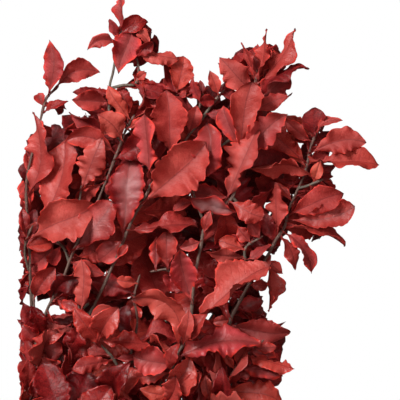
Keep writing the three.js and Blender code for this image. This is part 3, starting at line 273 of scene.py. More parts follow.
# Each stem: its place in the band, then its route in the plan and what it carries.
# A route is a list of [x, y, z].
# A leaf is [base x, base y, tip x, tip y, seen width, rise of the tip, bow to its right, arch].
# A leaf's base is the nearest point of its twig. A negative width turns the leaf the other way.
STEMS = [
  {
    "name": "leafy_stem_left_edge", "place": [-1.5, 0],
    "route": [
      [36, 140, 34], [56, 225, 48], [59, 285, 58], [58, 330, 66], [58, 352, 72], [56, 376, 75],
      [57, 393, 77], [61, 410, 79], [66, 430, 81], [70, 444, 82], [76, 450, 82],
    ],
    "leaves": [
      [70, 445, 74, 483, 12, 6, 0.07, 0.08], [76, 449, 105, 462, 13, -4, -0.13, 0.1],
      [67, 438, 64, 447, 6, -4], [68, 434, 84, 443, 5, 2], [56, 378, 58, 434, 14, 9, 0.16],
    ],
    "twigs": [
      {"route": [[57, 330, 66], [55, 341, 72], [57, 351, 80], [60, 358, 82]],
       "leaves": [[57, 349, 103, 368, 24, 16, -0.06, 0.06], [59, 356, 82, 418, 17, 8, 0.12, 0.05]]},
    ],
  },
  {
    "name": "leafy_stem_left", "place": [-1, 1],
    "route": [
      [33, 140, 44], [50, 222, 60], [62, 278, 74], [70, 303, 79], [80, 322, 82], [89, 345, 85],
      [102, 371, 87], [110, 390, 88], [119, 413, 89], [122, 421, 89], [127, 430, 90],
    ],
    "leaves": [
      [86, 335, 109, 326, 9, 4], [90, 341, 116, 374, 20, 8, 0, 0.05],
      [120, 415, 104, 432, 14, 10, 0.12], [118, 413, 84, 430, 9, 4, 0.1],
      [116, 406, 81, 417, 12, 1, 0.16], [116, 402, 140, 417, 13, 6], [127, 428, 109, 451, 9, 4],
      [127, 429, 118, 453, 10, -4], [124, 424, 137, 430, 5, 6],
    ],
    "twigs": [
      {"route": [[96, 359, 86], [92, 371, 87], [93, 383, 88]],
       "leaves": [[93, 382, 107, 418, 15, 7]]},
      {"route": [[85, 335, 84], [81, 344, 77], [75, 350, 71]],
       "leaves": [[76, 350, 53, 329, 12, -14, -0.08], [80, 347, 71, 332, 8, -10]]},
      {"route": [
        [119, 413, 88], [112, 432, 87], [112, 452, 86], [114, 460, 86], [117, 478, 85],
        [120, 490, 84],
      ],
       "leaves": [
        [112, 441, 87, 442, 12, 6, 0, 0.06], [112, 446, 86, 447, 8, -6], [119, 488, 119, 514, 5.5, 4],
        [120, 488, 138, 494, 10, -4, -0.15], [119, 486, 112, 496, 5, 3],
        [117, 480, 97, 475, 8, 3, 0.25],
      ]},
      {"route": [[118, 482, 84], [124, 488, 83], [130, 488, 82]],
       "leaves": [
        [127, 487, 116, 460, 16, 7], [130, 487, 140, 489, 7, -3], [129, 487, 134, 464, 10, -12],
      ]},
      {"route": [[112, 450, 86], [121, 452, 88], [129, 453, 88], [131, 463, 87], [128, 475, 86]],
       "leaves": [[128, 474, 158, 470, 8, 4, -0.03], [131, 455, 136, 461, 5, 2]]},
      {"route": [
        [50, 222, 60], [60, 246, 69], [62, 258, 71], [65, 270, 73], [66, 285, 74], [62, 300, 75],
        [61, 311, 75],
      ],
       "leaves": [
        [65, 282, 53, 293, 10, 4], [65, 279, 80, 273, 13, 4], [62, 257, 52, 269, 10, 3],
        [61, 310, 76, 331, 12, 7, -0.06],
      ]},
      {"route": [[45, 198, 55], [64, 215, 63], [75, 238, 68], [78, 256, 70]],
       "leaves": [[77, 255, 67, 272, 12, 5]]},
    ],
  },
  {
    "name": "leafy_stem_centre_left", "place": [0, 1],
    "route": [
      [47, 150, 52], [78, 245, 72], [94, 290, 80], [109, 322, 86], [117, 340, 88], [122, 352, 90],
      [128, 365, 92], [136, 379, 93], [141, 390, 93], [152, 404, 93], [163, 417, 92], [169, 430, 91],
      [173, 444, 90],
    ],
    "leaves": [
      [121, 351, 104, 335, 13, -4], [122, 352, 122, 403, 20, 7, 0.03, 0.05],
      [136, 380, 134, 398, 10, -6], [133, 373, 178, 412, 26, 7, 0, 0.06], [139, 386, 135, 433, 10, 4],
      [152, 404, 151, 449, 19, 5, 0, 0.06], [165, 420, 170, 439, 10, 3], [172, 440, 165, 457, 5, 3],
      [173, 443, 172, 456, 4, -3], [124, 355, 170, 362, 10, -5], [116, 337, 124, 347, 5, 4],
    ],
    "twigs": [
      {"route": [[151, 403, 92], [154, 425, 85], [156, 447, 83]],
       "leaves": [[156, 446, 162, 472, 14, 3]]},
      {"route": [[164, 419, 92], [173, 430, 90], [180, 440, 88], [186, 447, 87]],
       "leaves": [
        [184, 445, 178, 462, 7, 3], [184, 446, 171, 441, 7, 4], [175, 433, 188, 432, 6, 2],
      ]},
    ],
  },
  {
    "name": "leafy_stem_centre_low", "place": [-0.5, 0],
    "route": [
      [54, 128, 38], [92, 192, 56], [112, 228, 68], [118, 245, 72], [122, 262, 76], [126, 275, 78],
      [130, 295, 79], [128, 312, 80], [131, 324, 81],
    ],
    "leaves": [
      [129, 308, 129, 296, 8, -3], [128, 314, 98, 324, 12, -1], [131, 321, 116, 323, 7, 4],
    ],
    "twigs": [
      {"route": [[92, 192, 56], [87, 222, 62], [90, 243, 66], [93, 257, 67]],
       "leaves": [
        [92, 255, 120, 270, 9, 9], [91, 250, 108, 260, 7, 2], [90, 244, 116, 262, 7, -3],
      ]},
      {"route": [[121, 258, 75], [114, 271, 81], [103, 284, 87], [95, 296, 88], [92, 304, 88]],
       "leaves": [
        [112, 273, 97, 278, 9, 3], [114, 270, 87, 266, 10, 5], [104, 283, 140, 282, 9, 6],
        [93, 301, 96, 338, 11, 5], [94, 299, 86, 276, 12, -9], [96, 296, 121, 297, 8, 4, -0.18, 0.12],
      ]},
    ],
  },
  {
    "name": "leafy_stem_centre", "place": [1, 1],
    "route": [
      [64, 130, 43], [108, 196, 62], [138, 236, 76], [150, 256, 84], [156, 273, 88], [161, 282, 89],
      [166, 291, 90], [166, 301, 90], [168, 325, 91], [172, 345, 92], [175, 360, 92], [182, 370, 92],
      [193, 378, 92], [196, 395, 91], [198, 410, 90], [203, 426, 89], [207, 443, 87], [209, 460, 85],
    ],
    "leaves": [
      [156, 273, 127, 316, 15, 8, 0.3], [156, 270, 213, 283, 14, 5, -0.1, 0.04],
      [155, 268, 126, 272, 17, 2], [153, 262, 125, 258, 8, -5], [167, 293, 215, 338, 15, 7, 0, 0.05],
      [167, 307, 156, 344, 15, 4, 0, -0.08], [172, 349, 158, 344, 7, 3], [174, 354, 178, 370, 6, 4],
      [193, 376, 165, 382, 12, -3], [194, 377, 213, 363, 13, 3], [193, 378, 210, 424, 14, 5],
      [193, 380, 197, 413, 8, 11], [197, 411, 185, 438, 9, 4], [198, 412, 203, 454, 17, 8],
      [199, 411, 228, 436, 16, 4], [207, 447, 185, 472, 15, 5, 0.05, 0.1], [206, 444, 184, 469, 9, -6],
      [209, 458, 200, 481, 4, 2], [209, 459, 212, 489, 5, 5, 0.1], [209, 459, 210, 480, 8, -4],
      [209, 459, 237, 489, 9, 3, 0, 0.05], [209, 457, 244, 464, 9, 6, -0.08],
      [207, 442, 232, 461, 16, -3], [207, 440, 230, 446, 9, 4],
    ],
    "twigs": [
      {"route": [[138, 236, 76], [148, 242, 80], [157, 247, 82]],
       "leaves": [[155, 246, 131, 250, 9, 5]]},
      {"route": [[167, 312, 90], [158, 322, 86], [150, 330, 84], [141, 329, 82]],
       "leaves": [[150, 330, 149, 356, 12, 2], [142, 329, 143, 352, 8, -3]]},
      {"route": [[175, 360, 92], [170, 372, 93], [166, 385, 93]],
       "leaves": [[166, 384, 177, 428, 18, 5, 0.14]]},
      {"route": [[193, 378, 92], [198, 372, 91], [199, 366, 90]],
       "leaves": [[198, 367, 164, 376, 10, 8]]},
    ],
  },
  {
    "name": "leafy_stem_right_low", "place": [1.5, 0],
    "route": [
      [77, 124, 39], [128, 186, 58], [164, 222, 70], [183, 245, 76], [190, 256, 78], [197, 267, 80],
      [203, 275, 81], [212, 282, 82],
    ],
    "leaves": [
      [179, 240, 174, 260, 7, 3], [172, 231, 172, 262, 7, -4], [194, 264, 187, 275, 5, 3],
      [197, 265, 227, 262, 9, 4], [202, 273, 234, 264, 6, 7], [204, 275, 224, 273, 7, -4],
      [206, 278, 223, 279, 6, 2], [184, 248, 228, 244, 14, 2, -0.06],
    ],
    "twigs": [
      {"route": [[180, 241, 75], [188, 248, 73], [197, 260, 72]],
       "leaves": [[196, 258, 206, 262, 6, 3]]},
    ],
  },
  {
    "name": "leafy_stem_right", "place": [0.5, 0],
    "route": [
      [67, 124, 34], [116, 184, 50], [156, 234, 62], [176, 262, 68], [187, 284, 72], [193, 299, 75],
      [204, 320, 77], [217, 340, 79], [222, 350, 80], [228, 359, 80], [230, 369, 80], [235, 380, 79],
      [240, 391, 78], [243, 401, 77], [245, 411, 76], [249, 421, 75],
    ],
    "leaves": [
      [190, 293, 232, 285, 16, 5], [195, 303, 213, 310, 10, -3], [192, 297, 180, 295, 6, 2],
      [204, 320, 218, 319, 7, -4], [199, 310, 172, 328, 8, 6], [217, 339, 218, 302, 7, 4, -0.17],
      [218, 341, 226, 327, 7, -3], [226, 355, 246, 327, 8, 3, -0.15],
      [224, 353, 234, 329, 8, -3, -0.13], [228, 359, 269, 348, 7, 3, -0.06],
      [229, 363, 275, 369, 15, 4, -0.04, 0.05], [230, 366, 266, 383, 16, -4],
      [228, 360, 222, 388, 9, 6], [225, 355, 213, 368, 9, -2], [244, 407, 282, 417, 15, 3, -0.08],
      [243, 403, 290, 404, 14, 5], [248, 417, 247, 438, 14, 3], [249, 420, 266, 429, 5, 3, -0.18],
      [247, 415, 226, 431, 8, 3], [243, 400, 212, 427, 14, 3], [244, 408, 225, 423, 10, -5],
    ],
    "twigs": [
      {"route": [[208, 326, 78], [202, 335, 82], [202, 345, 84], [211, 351, 84]],
       "leaves": [
        [201, 338, 175, 341, 8, 5], [202, 343, 183, 350, 10, 1], [205, 348, 196, 358, 8, 3],
        [211, 351, 203, 363, 8, 4],
      ]},
      {"route": [[237, 384, 79], [244, 386, 81], [251, 389, 82]],
       "leaves": [[249, 389, 207, 392, 9, 7, 0.22], [250, 389, 251, 403, 7, 2]]},
    ],
  },
  {
    "name": "leafy_stem_back_left", "place": [-1, -1],
    "route": [[32, 150, 26], [70, 250, 32], [94, 330, 38], [112, 390, 42], [120, 432, 46]],
    "leaves": [],
    "twigs": [],
  },
  {
    "name": "leafy_stem_back_centre", "place": [0, -1],
    "route": [[52, 150, 25], [104, 262, 30], [146, 350, 34], [166, 400, 38], [180, 435, 42]],
    "leaves": [],
    "twigs": [],
  },
  {
    "name": "leafy_stem_back_right", "place": [1, -1],
    "route": [[68, 146, 24], [140, 240, 30], [188, 310, 34], [214, 360, 38], [232, 400, 42]],
    "leaves": [],
    "twigs": [],
  },
]

# The outline that the leaves by the rule keep inside, in the plan
OUTLINE = [
  [53, 240], [53, 400], [63, 424], [70, 443], [84, 448], [106, 449], [116, 455], [114, 472],
  [118, 492], [140, 490], [144, 474], [166, 469], [168, 455], [179, 450], [187, 453], [187, 466],
  [200, 476], [214, 478], [232, 478], [225, 455], [229, 446], [214, 439], [222, 435], [238, 430],
  [258, 421], [256, 400], [254, 391], [262, 382], [264, 366], [250, 362], [232, 361], [222, 342],
  [216, 334], [211, 322], [212, 306], [218, 296], [229, 287], [226, 276], [224, 262], [222, 238],
  [196, 205], [140, 145], [90, 96], [30, 92], [8, 130], [20, 190],
]

# Gaps between the leaves where light shows through: [x, y, radius] in the plan
LIGHT_GAPS = [
  [60, 310, 3], [68, 308, 5], [76, 303, 3], [82, 302, 1], [73, 395, 5], [57, 343, 1],
  [75, 444, 2], [71, 443, 1], [72, 431, 4], [78, 426, 4], [88, 435, 3], [95, 435, 3], [102, 435, 3],
  [121, 423, 2], [128, 447, 2], [131, 444, 2], [133, 441, 1], [122, 460, 5], [115, 450, 2],
  [141, 461, 6], [167, 441, 2], [186, 443, 1], [207, 454, 1], [223, 425, 3], [236, 411, 3],
  [233, 379, 1], [217, 373, 2], [215, 341, 1], [225, 340, 2], [235, 346, 3], [217, 327, 1],
  [178, 299, 2],
]

UP = np.array([0.0, 0.0, 1.0])


def unit(v):
    return v / np.linalg.norm(v)


def units(rows):
    """The rows of an array, each made as long as 1."""
    return rows / np.linalg.norm(rows, axis=1)[:, None]


def between(limits, share):
    return limits[0] + (limits[1] - limits[0]) * share


def clamped(value, low=0, high=1):
    return min(high, max(low, value))


def random_source(seed):
    """A seeded source of numbers from 0 to 1."""
    state = seed & 0xFFFFFFFF

    def draw():
        nonlocal state
        state = (state + 0x6D2B79F5) & 0xFFFFFFFF
        t = ((state ^ (state >> 15)) * (state | 1)) & 0xFFFFFFFF
        t ^= (t + (((t ^ (t >> 7)) * (t | 61)) & 0xFFFFFFFF)) & 0xFFFFFFFF
        return ((t ^ (t >> 14)) & 0xFFFFFFFF) / 4294967296

    return draw


def in_bundle(across, up, along_it):
    """A place in the bare part of the bunch: across, up, and along it from the band."""
    run = math.cos(SLOPE) * along_it - math.sin(SLOPE) * up
    return np.array([
        math.cos(LEAN) * across + math.sin(LEAN) * run,
        math.cos(LEAN) * run - math.sin(LEAN) * across,
        TIE_HEIGHT + math.sin(SLOPE) * along_it + math.cos(SLOPE) * up,
    ])


# The frame has the bunch turned straight and its middle at the origin
turn_back = np.array([
    [math.cos(LEAN), -math.sin(LEAN), 0],
    [math.sin(LEAN), math.cos(LEAN), 0],
    [0, 0, 1],
])
band_low, band_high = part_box("elastic_band")
shift = np.array((band_low + band_high) / 2) * 1000 - turn_back @ in_bundle(0, 0, 0)


def to_frame(points):
    """Points of the plan in the frame, in metres."""
    return (np.asarray(points, float) @ turn_back.T + shift) / 1000


def route_length(route):
    return sum(np.linalg.norm(b - a) for a, b in zip(route, route[1:]))


def along(route, share):
    """A route's point and direction at a share of its length."""
    lengths = [np.linalg.norm(b - a) for a, b in zip(route, route[1:])]
    left = share * sum(lengths)
    i = 0
    while i < len(lengths) - 1 and left > lengths[i]:
        left -= lengths[i]
        i += 1
    direction = unit(route[i + 1] - route[i])
    return route[i] + direction * left, direction


def nearest_reach(route, x, y):
    """How far along a route its point lies that is nearest in the plan."""
    best, best_distance, done = 0, math.inf, 0
    for a, b in zip(route, route[1:]):
        span = (b - a)[:2]
        share = np.dot(np.array([x, y]) - a[:2], span) / np.dot(span, span)
        share = clamped(share)
        at = a + (b - a) * share
        distance = math.hypot(at[0] - x, at[1] - y)
        if distance < best_distance:
            best = done + share * np.linalg.norm(b - a)
            best_distance = distance
        done += np.linalg.norm(b - a)
    return best


def leaf_reaches(route, rows):
    """Where the leaves of a twig start, with no two nearer than BASE_STEP."""
    taken = []
    for row in rows:
        reach = nearest_reach(route, row[0], row[1])
        while any(abs(other - reach) < BASE_STEP - 0.01 for other in taken):
            reach -= BASE_STEP / 2
        taken.append(reach)
    return taken


def wave_period(length, plain):
    """The share of a leaf's length from one wave of its margin to the next."""
    if plain:
        length = 0
    return next(period for limit, period in WAVE_PERIODS if length < limit)


def make_leaf(base, tip, seed, plain=False, **extra):
    """A leaf's numbers, with those that its seed gives it."""
    draw = random_source(seed)
    length = np.linalg.norm(tip - base)
    twist, bow, _, waves, fold = (draw() for _ in range(5))
    leaf = {
        "base": base,
        "tip": tip,
        "length": length,
        "up": UP,
        "twist": (twist - 0.5) * TWIST,
        "bow": (bow - 0.5) * RULE_BOW,
        "left_wave": 1 if waves < 0.5 else -1,
        "right_wave": 1 if waves % 0.5 < 0.25 else -1,
        "fold": between(FOLD, fold),
        "period": wave_period(length, plain),
        "seed": seed,
    }
    form = random.Random(seed * 5 + 1)
    blunt = form.uniform(*(LONG_TIPS if length > LONG_LEAF else SHORT_TIPS))
    leaf["tapers"] = (BASE_TAPER * form.uniform(0.85, 1.15), TIP_TAPER * blunt)
    leaf.update(extra)
    return leaf


def off_twig(direction, turn, angle):
    """Directions off a twig: turn is round it and angle is away from it."""
    out = np.array([1.0, 0, 0]) if abs(direction[2]) > 0.9 else UP
    out = unit(out - direction * np.dot(out, direction))
    side = np.cross(direction, out)
    return (
        direction * math.cos(angle)
        + out * math.sin(angle) * math.cos(turn)
        + side * math.sin(angle) * math.sin(turn)
    )


# How far a listed leaf may be lifted and turned, in the order in which it was tried
SHIFTS = []
for step in range(LIFT_STEPS):
    for turn in (0, 1, -1):
        for way in (1, -1) if step else (1,):
            cost = step + 2 * turn * turn
            SHIFTS.append((cost, way * step * LIFT + turn * TURN_LIFT, turn * CLEAR_TURN))
SHIFTS.sort(key=operator.itemgetter(0))


def hand_leaf(base, row, seed):
    """The candidates for a leaf whose ends are given in the plan."""
    tip_x, tip_y, width, rise = row[2:6]
    bow = row[6] if len(row) > 6 else 0
    arch = row[7] if len(row) > 7 else ARCH
    length = math.hypot(tip_x - base[0], tip_y - base[1])
    seen = abs(width) * WAVE_SHARE
    full = max(seen, NARROW * length)
    turn = min(TURN_LIMIT, math.acos(seen / full)) * math.copysign(1, width)
    for _, lift, more in SHIFTS:
        tip = np.array([tip_x, tip_y, base[2] + rise + lift])
        yield make_leaf(base, tip, seed, width=full, roll=turn + more, bow=bow, arch=arch)


def rule_leaf(route, share, turn, seed):
    """The candidates for a leaf by the rule, at a share of its twig."""
    at, direction = along(route, share)
    draw = random_source(seed)
    length = between(LEAF_LENGTH, draw())
    width = length * between(LEAF_WIDTH, draw())
    roll = (draw() - 0.5) * RULE_ROLL
    up = unit(direction + UP * RULE_UP)
    for angle in ANGLES:
        for more in TURNS:
            tip = at + off_twig(direction, turn + more, angle) * length
            look = {"width": width, "roll": roll, "up": up, "arch": RULE_ARCH}
            yield make_leaf(at, tip, seed + 1, plain=True, **look)


def rule_twig(stem_route, share, turn, seed):
    """The candidates for a side twig by the rule, which bends back to its stem's direction."""
    at, direction = along(stem_route, share)
    draw = random_source(seed)
    length = between(SPRAY_LENGTH, draw())
    for more in TURNS:
        ahead = off_twig(direction, turn + more, SPRAY_ANGLE)
        route = [at]
        for bend in SPRAY_BENDS:
            piece = unit(ahead + (direction - ahead) * bend) * (length / len(SPRAY_BENDS))
            route.append(route[-1] + piece)
        yield route


def vertex_tree(name):
    """The vertices of a node of the solid model, for finding the nearest."""
    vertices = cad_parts[name].data.vertices
    tree = KDTree(len(vertices))
    for i, vertex in enumerate(vertices):
        tree.insert(vertex.co, i)
    tree.balance()
    return tree


def first_there(candidates, tree, tip_of):
    """The candidate that the solid model holds: its tip is a vertex of its node."""
    for candidate in candidates:
        _, _, distance = tree.find(Vector(to_frame(tip_of(candidate))))
        if distance < FOUND_WITHIN:
            return candidate
    return None


def leaf_tip(leaf):
    return leaf["tip"]


def route_tip(route):
    return route[-1] + unit(route[-1] - route[-2]) * BUD


def find_leaf(candidates, rod, reach, **looks):
    """Adds the leaf that the solid model holds among the candidates, if there is one."""
    found = first_there(candidates, trees[rod["node"]], leaf_tip)
    if found:
        found.update(node=rod["node"], **looks)
        leaves.append(found)
        rod["swellings"].append(reach)


def add_rod(route, radii, node, kind, rows=()):
    """Adds a stem or a twig with the rows of its listed leaves."""
    rods.append({"route": route, "radii": radii, "node": node, "kind": kind, "rows": rows})
    rods[-1]["swellings"] = []
    return rods[-1]


# The stems and twigs with their leaves, in the order in which the solid model was built
leaves = []
rods = []
trees = [vertex_tree(stem["name"]) for stem in STEMS]
for node, stem in enumerate(STEMS):
    across = stem["place"][0] * STEM_SPACING
    up = stem["place"][1] * STEM_SPACING * math.sin(math.pi / 3)
    main = [in_bundle(across, up, -BELOW_TIE - CUT_STEP * ((node * 3) % 4))]
    main.append(in_bundle(across, up, ABOVE_TIE))
    main += [np.array(p, float) for p in stem["route"]]
    add_rod(main, (STEM_RADIUS, STEM_TIP_RADIUS), node, "stem", stem["leaves"])
    for twig in stem["twigs"]:
        route = [np.array(p, float) for p in twig["route"]]
        add_rod(route, TWIG_RADII, node, "twig", twig["leaves"])
for rod_id, rod in enumerate(rods):
    total = route_length(rod["route"])
    for i, (row, reach) in enumerate(zip(rod["rows"], leaf_reaches(rod["route"], rod["rows"]))):
        base, _ = along(rod["route"], reach / total)
        find_leaf(hand_leaf(base, row, rod_id * 100 + i), rod, reach, kind="hand", row=row)
for stem in [rod for rod in rods if rod["kind"] == "stem"]:
    node, total = stem["node"], route_length(stem["route"])
    start = BELOW_TIE + FOLIAGE_START
    for j, reach in enumerate(np.arange(start, total - LAST_SPRAY, SPRAY_STEP)):
        share = (reach + node * SPRAY_SHIFT[0] % SPRAY_SHIFT[1]) / total
        seed = SPRAY_SEED + node * 500 + j * 20
        twigs = rule_twig(stem["route"], share, j * GOLDEN + node, seed)
        route = first_there(twigs, trees[node], route_tip) if share <= LAST_SHARE else None
        if route is None:
            continue
        spray = add_rod(route, TWIG_RADII, node, "spray")
        for k, part in enumerate(SPRAY_REACHES):
            found = rule_leaf(route, part, k * GOLDEN, seed + 1 + k)
            find_leaf(found, spray, part * route_length(route), kind="rule")
    for j, reach in enumerate(np.arange(start, total, STEM_LEAF_STEP)):
        seed = STEM_LEAF_SEED + node * 500 + j * 10
        found = rule_leaf(stem["route"], reach / total, j * GOLDEN + 1, seed)
        find_leaf(found, stem, reach, kind="rule")


def leaf_frames(leaf, us):
    """The midrib's points and the directions of a leaf at each of us, from its base to its tip."""
    chord = leaf["tip"] - leaf["base"]
    ahead = unit(chord)
    side = unit(np.cross(ahead, leaf["up"]))
    face = np.cross(side, ahead)
    bulge = (side * leaf["bow"] + face * leaf["arch"]) * leaf["length"]
    u = us[:, None]
    middle = leaf["base"] + chord * u + bulge * 4 * u * (1 - u)
    tangent = units(chord + bulge * (4 - 8 * u))
    roll = leaf["roll"] + leaf["twist"] * (u - 0.5)
    across = side * np.cos(roll) + face * np.sin(roll)
    across = units(across - tangent * np.sum(across * tangent, axis=1)[:, None])
    return middle, across, np.cross(across, tangent)


def half_width(leaf, us):
    """Half the width of a leaf at each of us."""
    blade = np.clip((us - PETIOLE) / (1 - PETIOLE), 0, 1)
    base_taper, tip_taper = leaf["tapers"]
    widest = base_taper / (base_taper + tip_taper)
    full = leaf["width"] / 2 * (blade / widest) ** base_taper
    full = full * ((1 - blade) / (1 - widest)) ** tip_taper
    return np.maximum(full, PETIOLE_RADIUS * (1 - us))


def crinkles(leaf, u, v, half):
    """The fine form of a leaf: its blade's further rise, the share of its reach, its tip's sway."""
    source = random.Random(leaf["seed"] * 7 + 3)
    height = leaf["width"] * RIPPLE_HEIGHT * source.uniform(0.6, 1.4)
    body = np.clip(np.sin(np.pi * np.clip((u - 0.04) / 0.95, 0, 1)), 0, 1) ** 0.5
    count = max(2.5, leaf["length"] / RIPPLE_LENGTH * source.uniform(0.75, 1.2))
    roll = source.uniform(*ROLL)
    cup = source.uniform(*CUP)
    curl = source.uniform(*CURL) * leaf["length"]
    hook = source.uniform(*HOOK) * leaf["length"]
    depth = INDENT * source.uniform(0.6, 1.3)
    ripple, indent = 0, 0
    for way in (-1, 1):
        a, b, c, d = (source.uniform(0, 2 * math.pi) for _ in range(4))
        pace = 2 * np.pi * count * (u + 0.04 * np.sin(7 * u + a) + 0.02 * np.sin(17 * u + b))
        swell = 0.7 + 0.5 * np.sin(5.3 * u * (1 + 0.3 * way) + c)
        wave = (np.sin(pace + a) + 0.5 * np.sin(0.45 * pace + d)) * swell
        on_side = (v * way > 0) * 1.0
        ripple = ripple + on_side * wave
        bulge = np.abs(np.sin(pace / 2 + a / 2 + 0.5)) - 0.6
        slow = 0.35 * np.sin(0.27 * pace + d)
        indent = indent + on_side * (bulge * swell + slow + TEETH * np.abs(np.sin(0.9 * pace + b)))
    rise = height * body * ripple * np.abs(v) ** 2.4
    rise = rise + roll * half * body * np.abs(v) ** 5 + cup * half * body * (v * v - 0.3)
    rise = rise + curl * np.clip((u - 0.55) / 0.45, 0, 1) ** 2
    return rise, 1 + depth * body * indent * v * v, hook * np.clip((u - 0.6) / 0.4, 0, 1) ** 2


def leaf_sheet(leaf, us, vs, fine=True):
    """A leaf's middle surface: its points, its face directions, its half widths."""
    middle, across, face = leaf_frames(leaf, us)
    half = half_width(leaf, us)[:, None]
    u, v = us[:, None], vs[None, :]
    sign = np.where(v > 0, leaf["right_wave"], leaf["left_wave"])
    wave = sign * np.sin(2 * np.pi * (u - leaf["period"] / 4) / leaf["period"])
    rise = leaf["fold"] * np.abs(v) * half + MARGIN_WAVE * leaf["width"] * wave * v * v
    reach = v * half
    if fine:
        more_rise, more_reach, sway = crinkles(leaf, u, v, half)
        rise = rise + more_rise
        reach = reach * more_reach + sway
    points = middle[:, None, :] + across[:, None, :] * reach[..., None]
    points = points + face[:, None, :] * rise[..., None]
    return points, face, half


def grid_corners(index):
    """The four corners of each cell of a grid of points."""
    before, after = index[:-1], index[1:]
    return [part.ravel() for part in (before[:, :-1], before[:, 1:], after[:, :-1], after[:, 1:])]


def leaf_mesh(leaf, steps, vs):
    """A leaf's closed blade: points, triangles, and for each point its place, kind and look."""
    us = np.linspace(0, 1, steps + 1)[:-1]
    vs = np.array(vs)
    points, face, half = leaf_sheet(leaf, np.append(us, 1.0), vs)
    tip = points[-1].mean(axis=0)
    points, face, half = points[:-1], face[:-1], half[:-1]
    u, v = us[:, None], vs[None, :]
    rib = np.abs(v) * half
    blade = np.clip((u - PETIOLE) / 0.1, 0, 1)
    thick = BLADE * (1 - 0.5 * v * v) * blade + (1 - blade) * STALK * np.sqrt(1 - 0.9 * v * v)
    groove = GROOVE[0] * np.exp(-((rib / GROOVE[1]) ** 2)) * blade * (1 - 0.5 * u)
    ridge = RIDGE[0] * np.exp(-((rib / RIDGE[1]) ** 2)) * blade * (1 - 0.7 * u)
    normal = face[:, None, :]
    upper = points + normal * (thick / 2 - groove)[..., None]
    lower = points - normal * (thick / 2 + ridge)[..., None]
    # A blade that reaches the surface lies on it
    upper[..., 2] = np.maximum(upper[..., 2], ON_SURFACE + BLADE)
    lower[..., 2] = np.maximum(lower[..., 2], ON_SURFACE)
    tip[2] = max(tip[2], ON_SURFACE + BLADE / 2)
    width = len(vs)
    count = steps * width
    tip_id = 2 * count
    index = np.arange(count).reshape(steps, width)
    a, b, c, d = grid_corners(index)
    last = index[-1]
    fan = np.stack([last[:-1], last[1:], np.full(width - 1, tip_id)], 1)
    top = np.concatenate([np.stack([a, b, c], 1), np.stack([b, d, c], 1), fan])
    under = np.where(top == tip_id, tip_id, top + count)[:, ::-1]
    walls = []
    for edge in (index[:, -1], index[::-1, 0], index[0]):
        p, q = edge[:-1], edge[1:]
        walls += [np.stack([p, p + count, q], 1), np.stack([q, p + count, q + count], 1)]
    right, left = last[-1], last[0]
    walls.append([(right, right + count, tip_id), (tip_id, left + count, left)])
    faces = np.concatenate([top, under] + walls)
    verts = np.concatenate([upper.reshape(-1, 3), lower.reshape(-1, 3), tip[None]])
    share = np.broadcast_to(u, rib.shape)
    # The place is how far along the blade, across it and in from its margin
    place = np.stack([share * leaf["length"], v * half, (1 - np.abs(v)) * half], -1).reshape(-1, 3)
    place = np.concatenate([place, place, [[leaf["length"], 0, 0]]])
    # The kind is the leaf's tone, 1 on its underside, and the share of its length
    kind = np.zeros((tip_id + 1, 3))
    kind[:, 0] = leaf["tone"]
    kind[count:tip_id, 1] = 1
    kind[:, 2] = np.append(np.tile(share.ravel(), 2), 1)
    look = np.tile([leaf["hue"], leaf["gloss"], leaf["pale"]], (tip_id + 1, 1))
    return verts, faces, place, kind, look


def smooth_route(route, step):
    """Points along a smooth curve through a route's points, with how far along each lies."""
    route = [route[0] * 2 - route[1], *route, route[-1] * 2 - route[-2]]
    made = []
    for p, a, b, q in zip(route, route[1:], route[2:], route[3:]):
        gap = np.linalg.norm(b - a)
        start = (b - p) / (np.linalg.norm(a - p) + gap) * gap
        end = (q - a) / (np.linalg.norm(q - b) + gap) * gap
        for t in np.arange(0, 1, 1 / max(2, round(gap / step))):
            near, far = 2 * t**3 - 3 * t**2 + 1, -2 * t**3 + 3 * t**2
            made.append(a * near + start * (t**3 - 2 * t**2 + t) + b * far + end * (t**3 - t**2))
    made.append(route[-2])
    made = np.array(made)
    run = np.append(0, np.cumsum(np.linalg.norm(np.diff(made, axis=0), axis=1)))
    return made, run


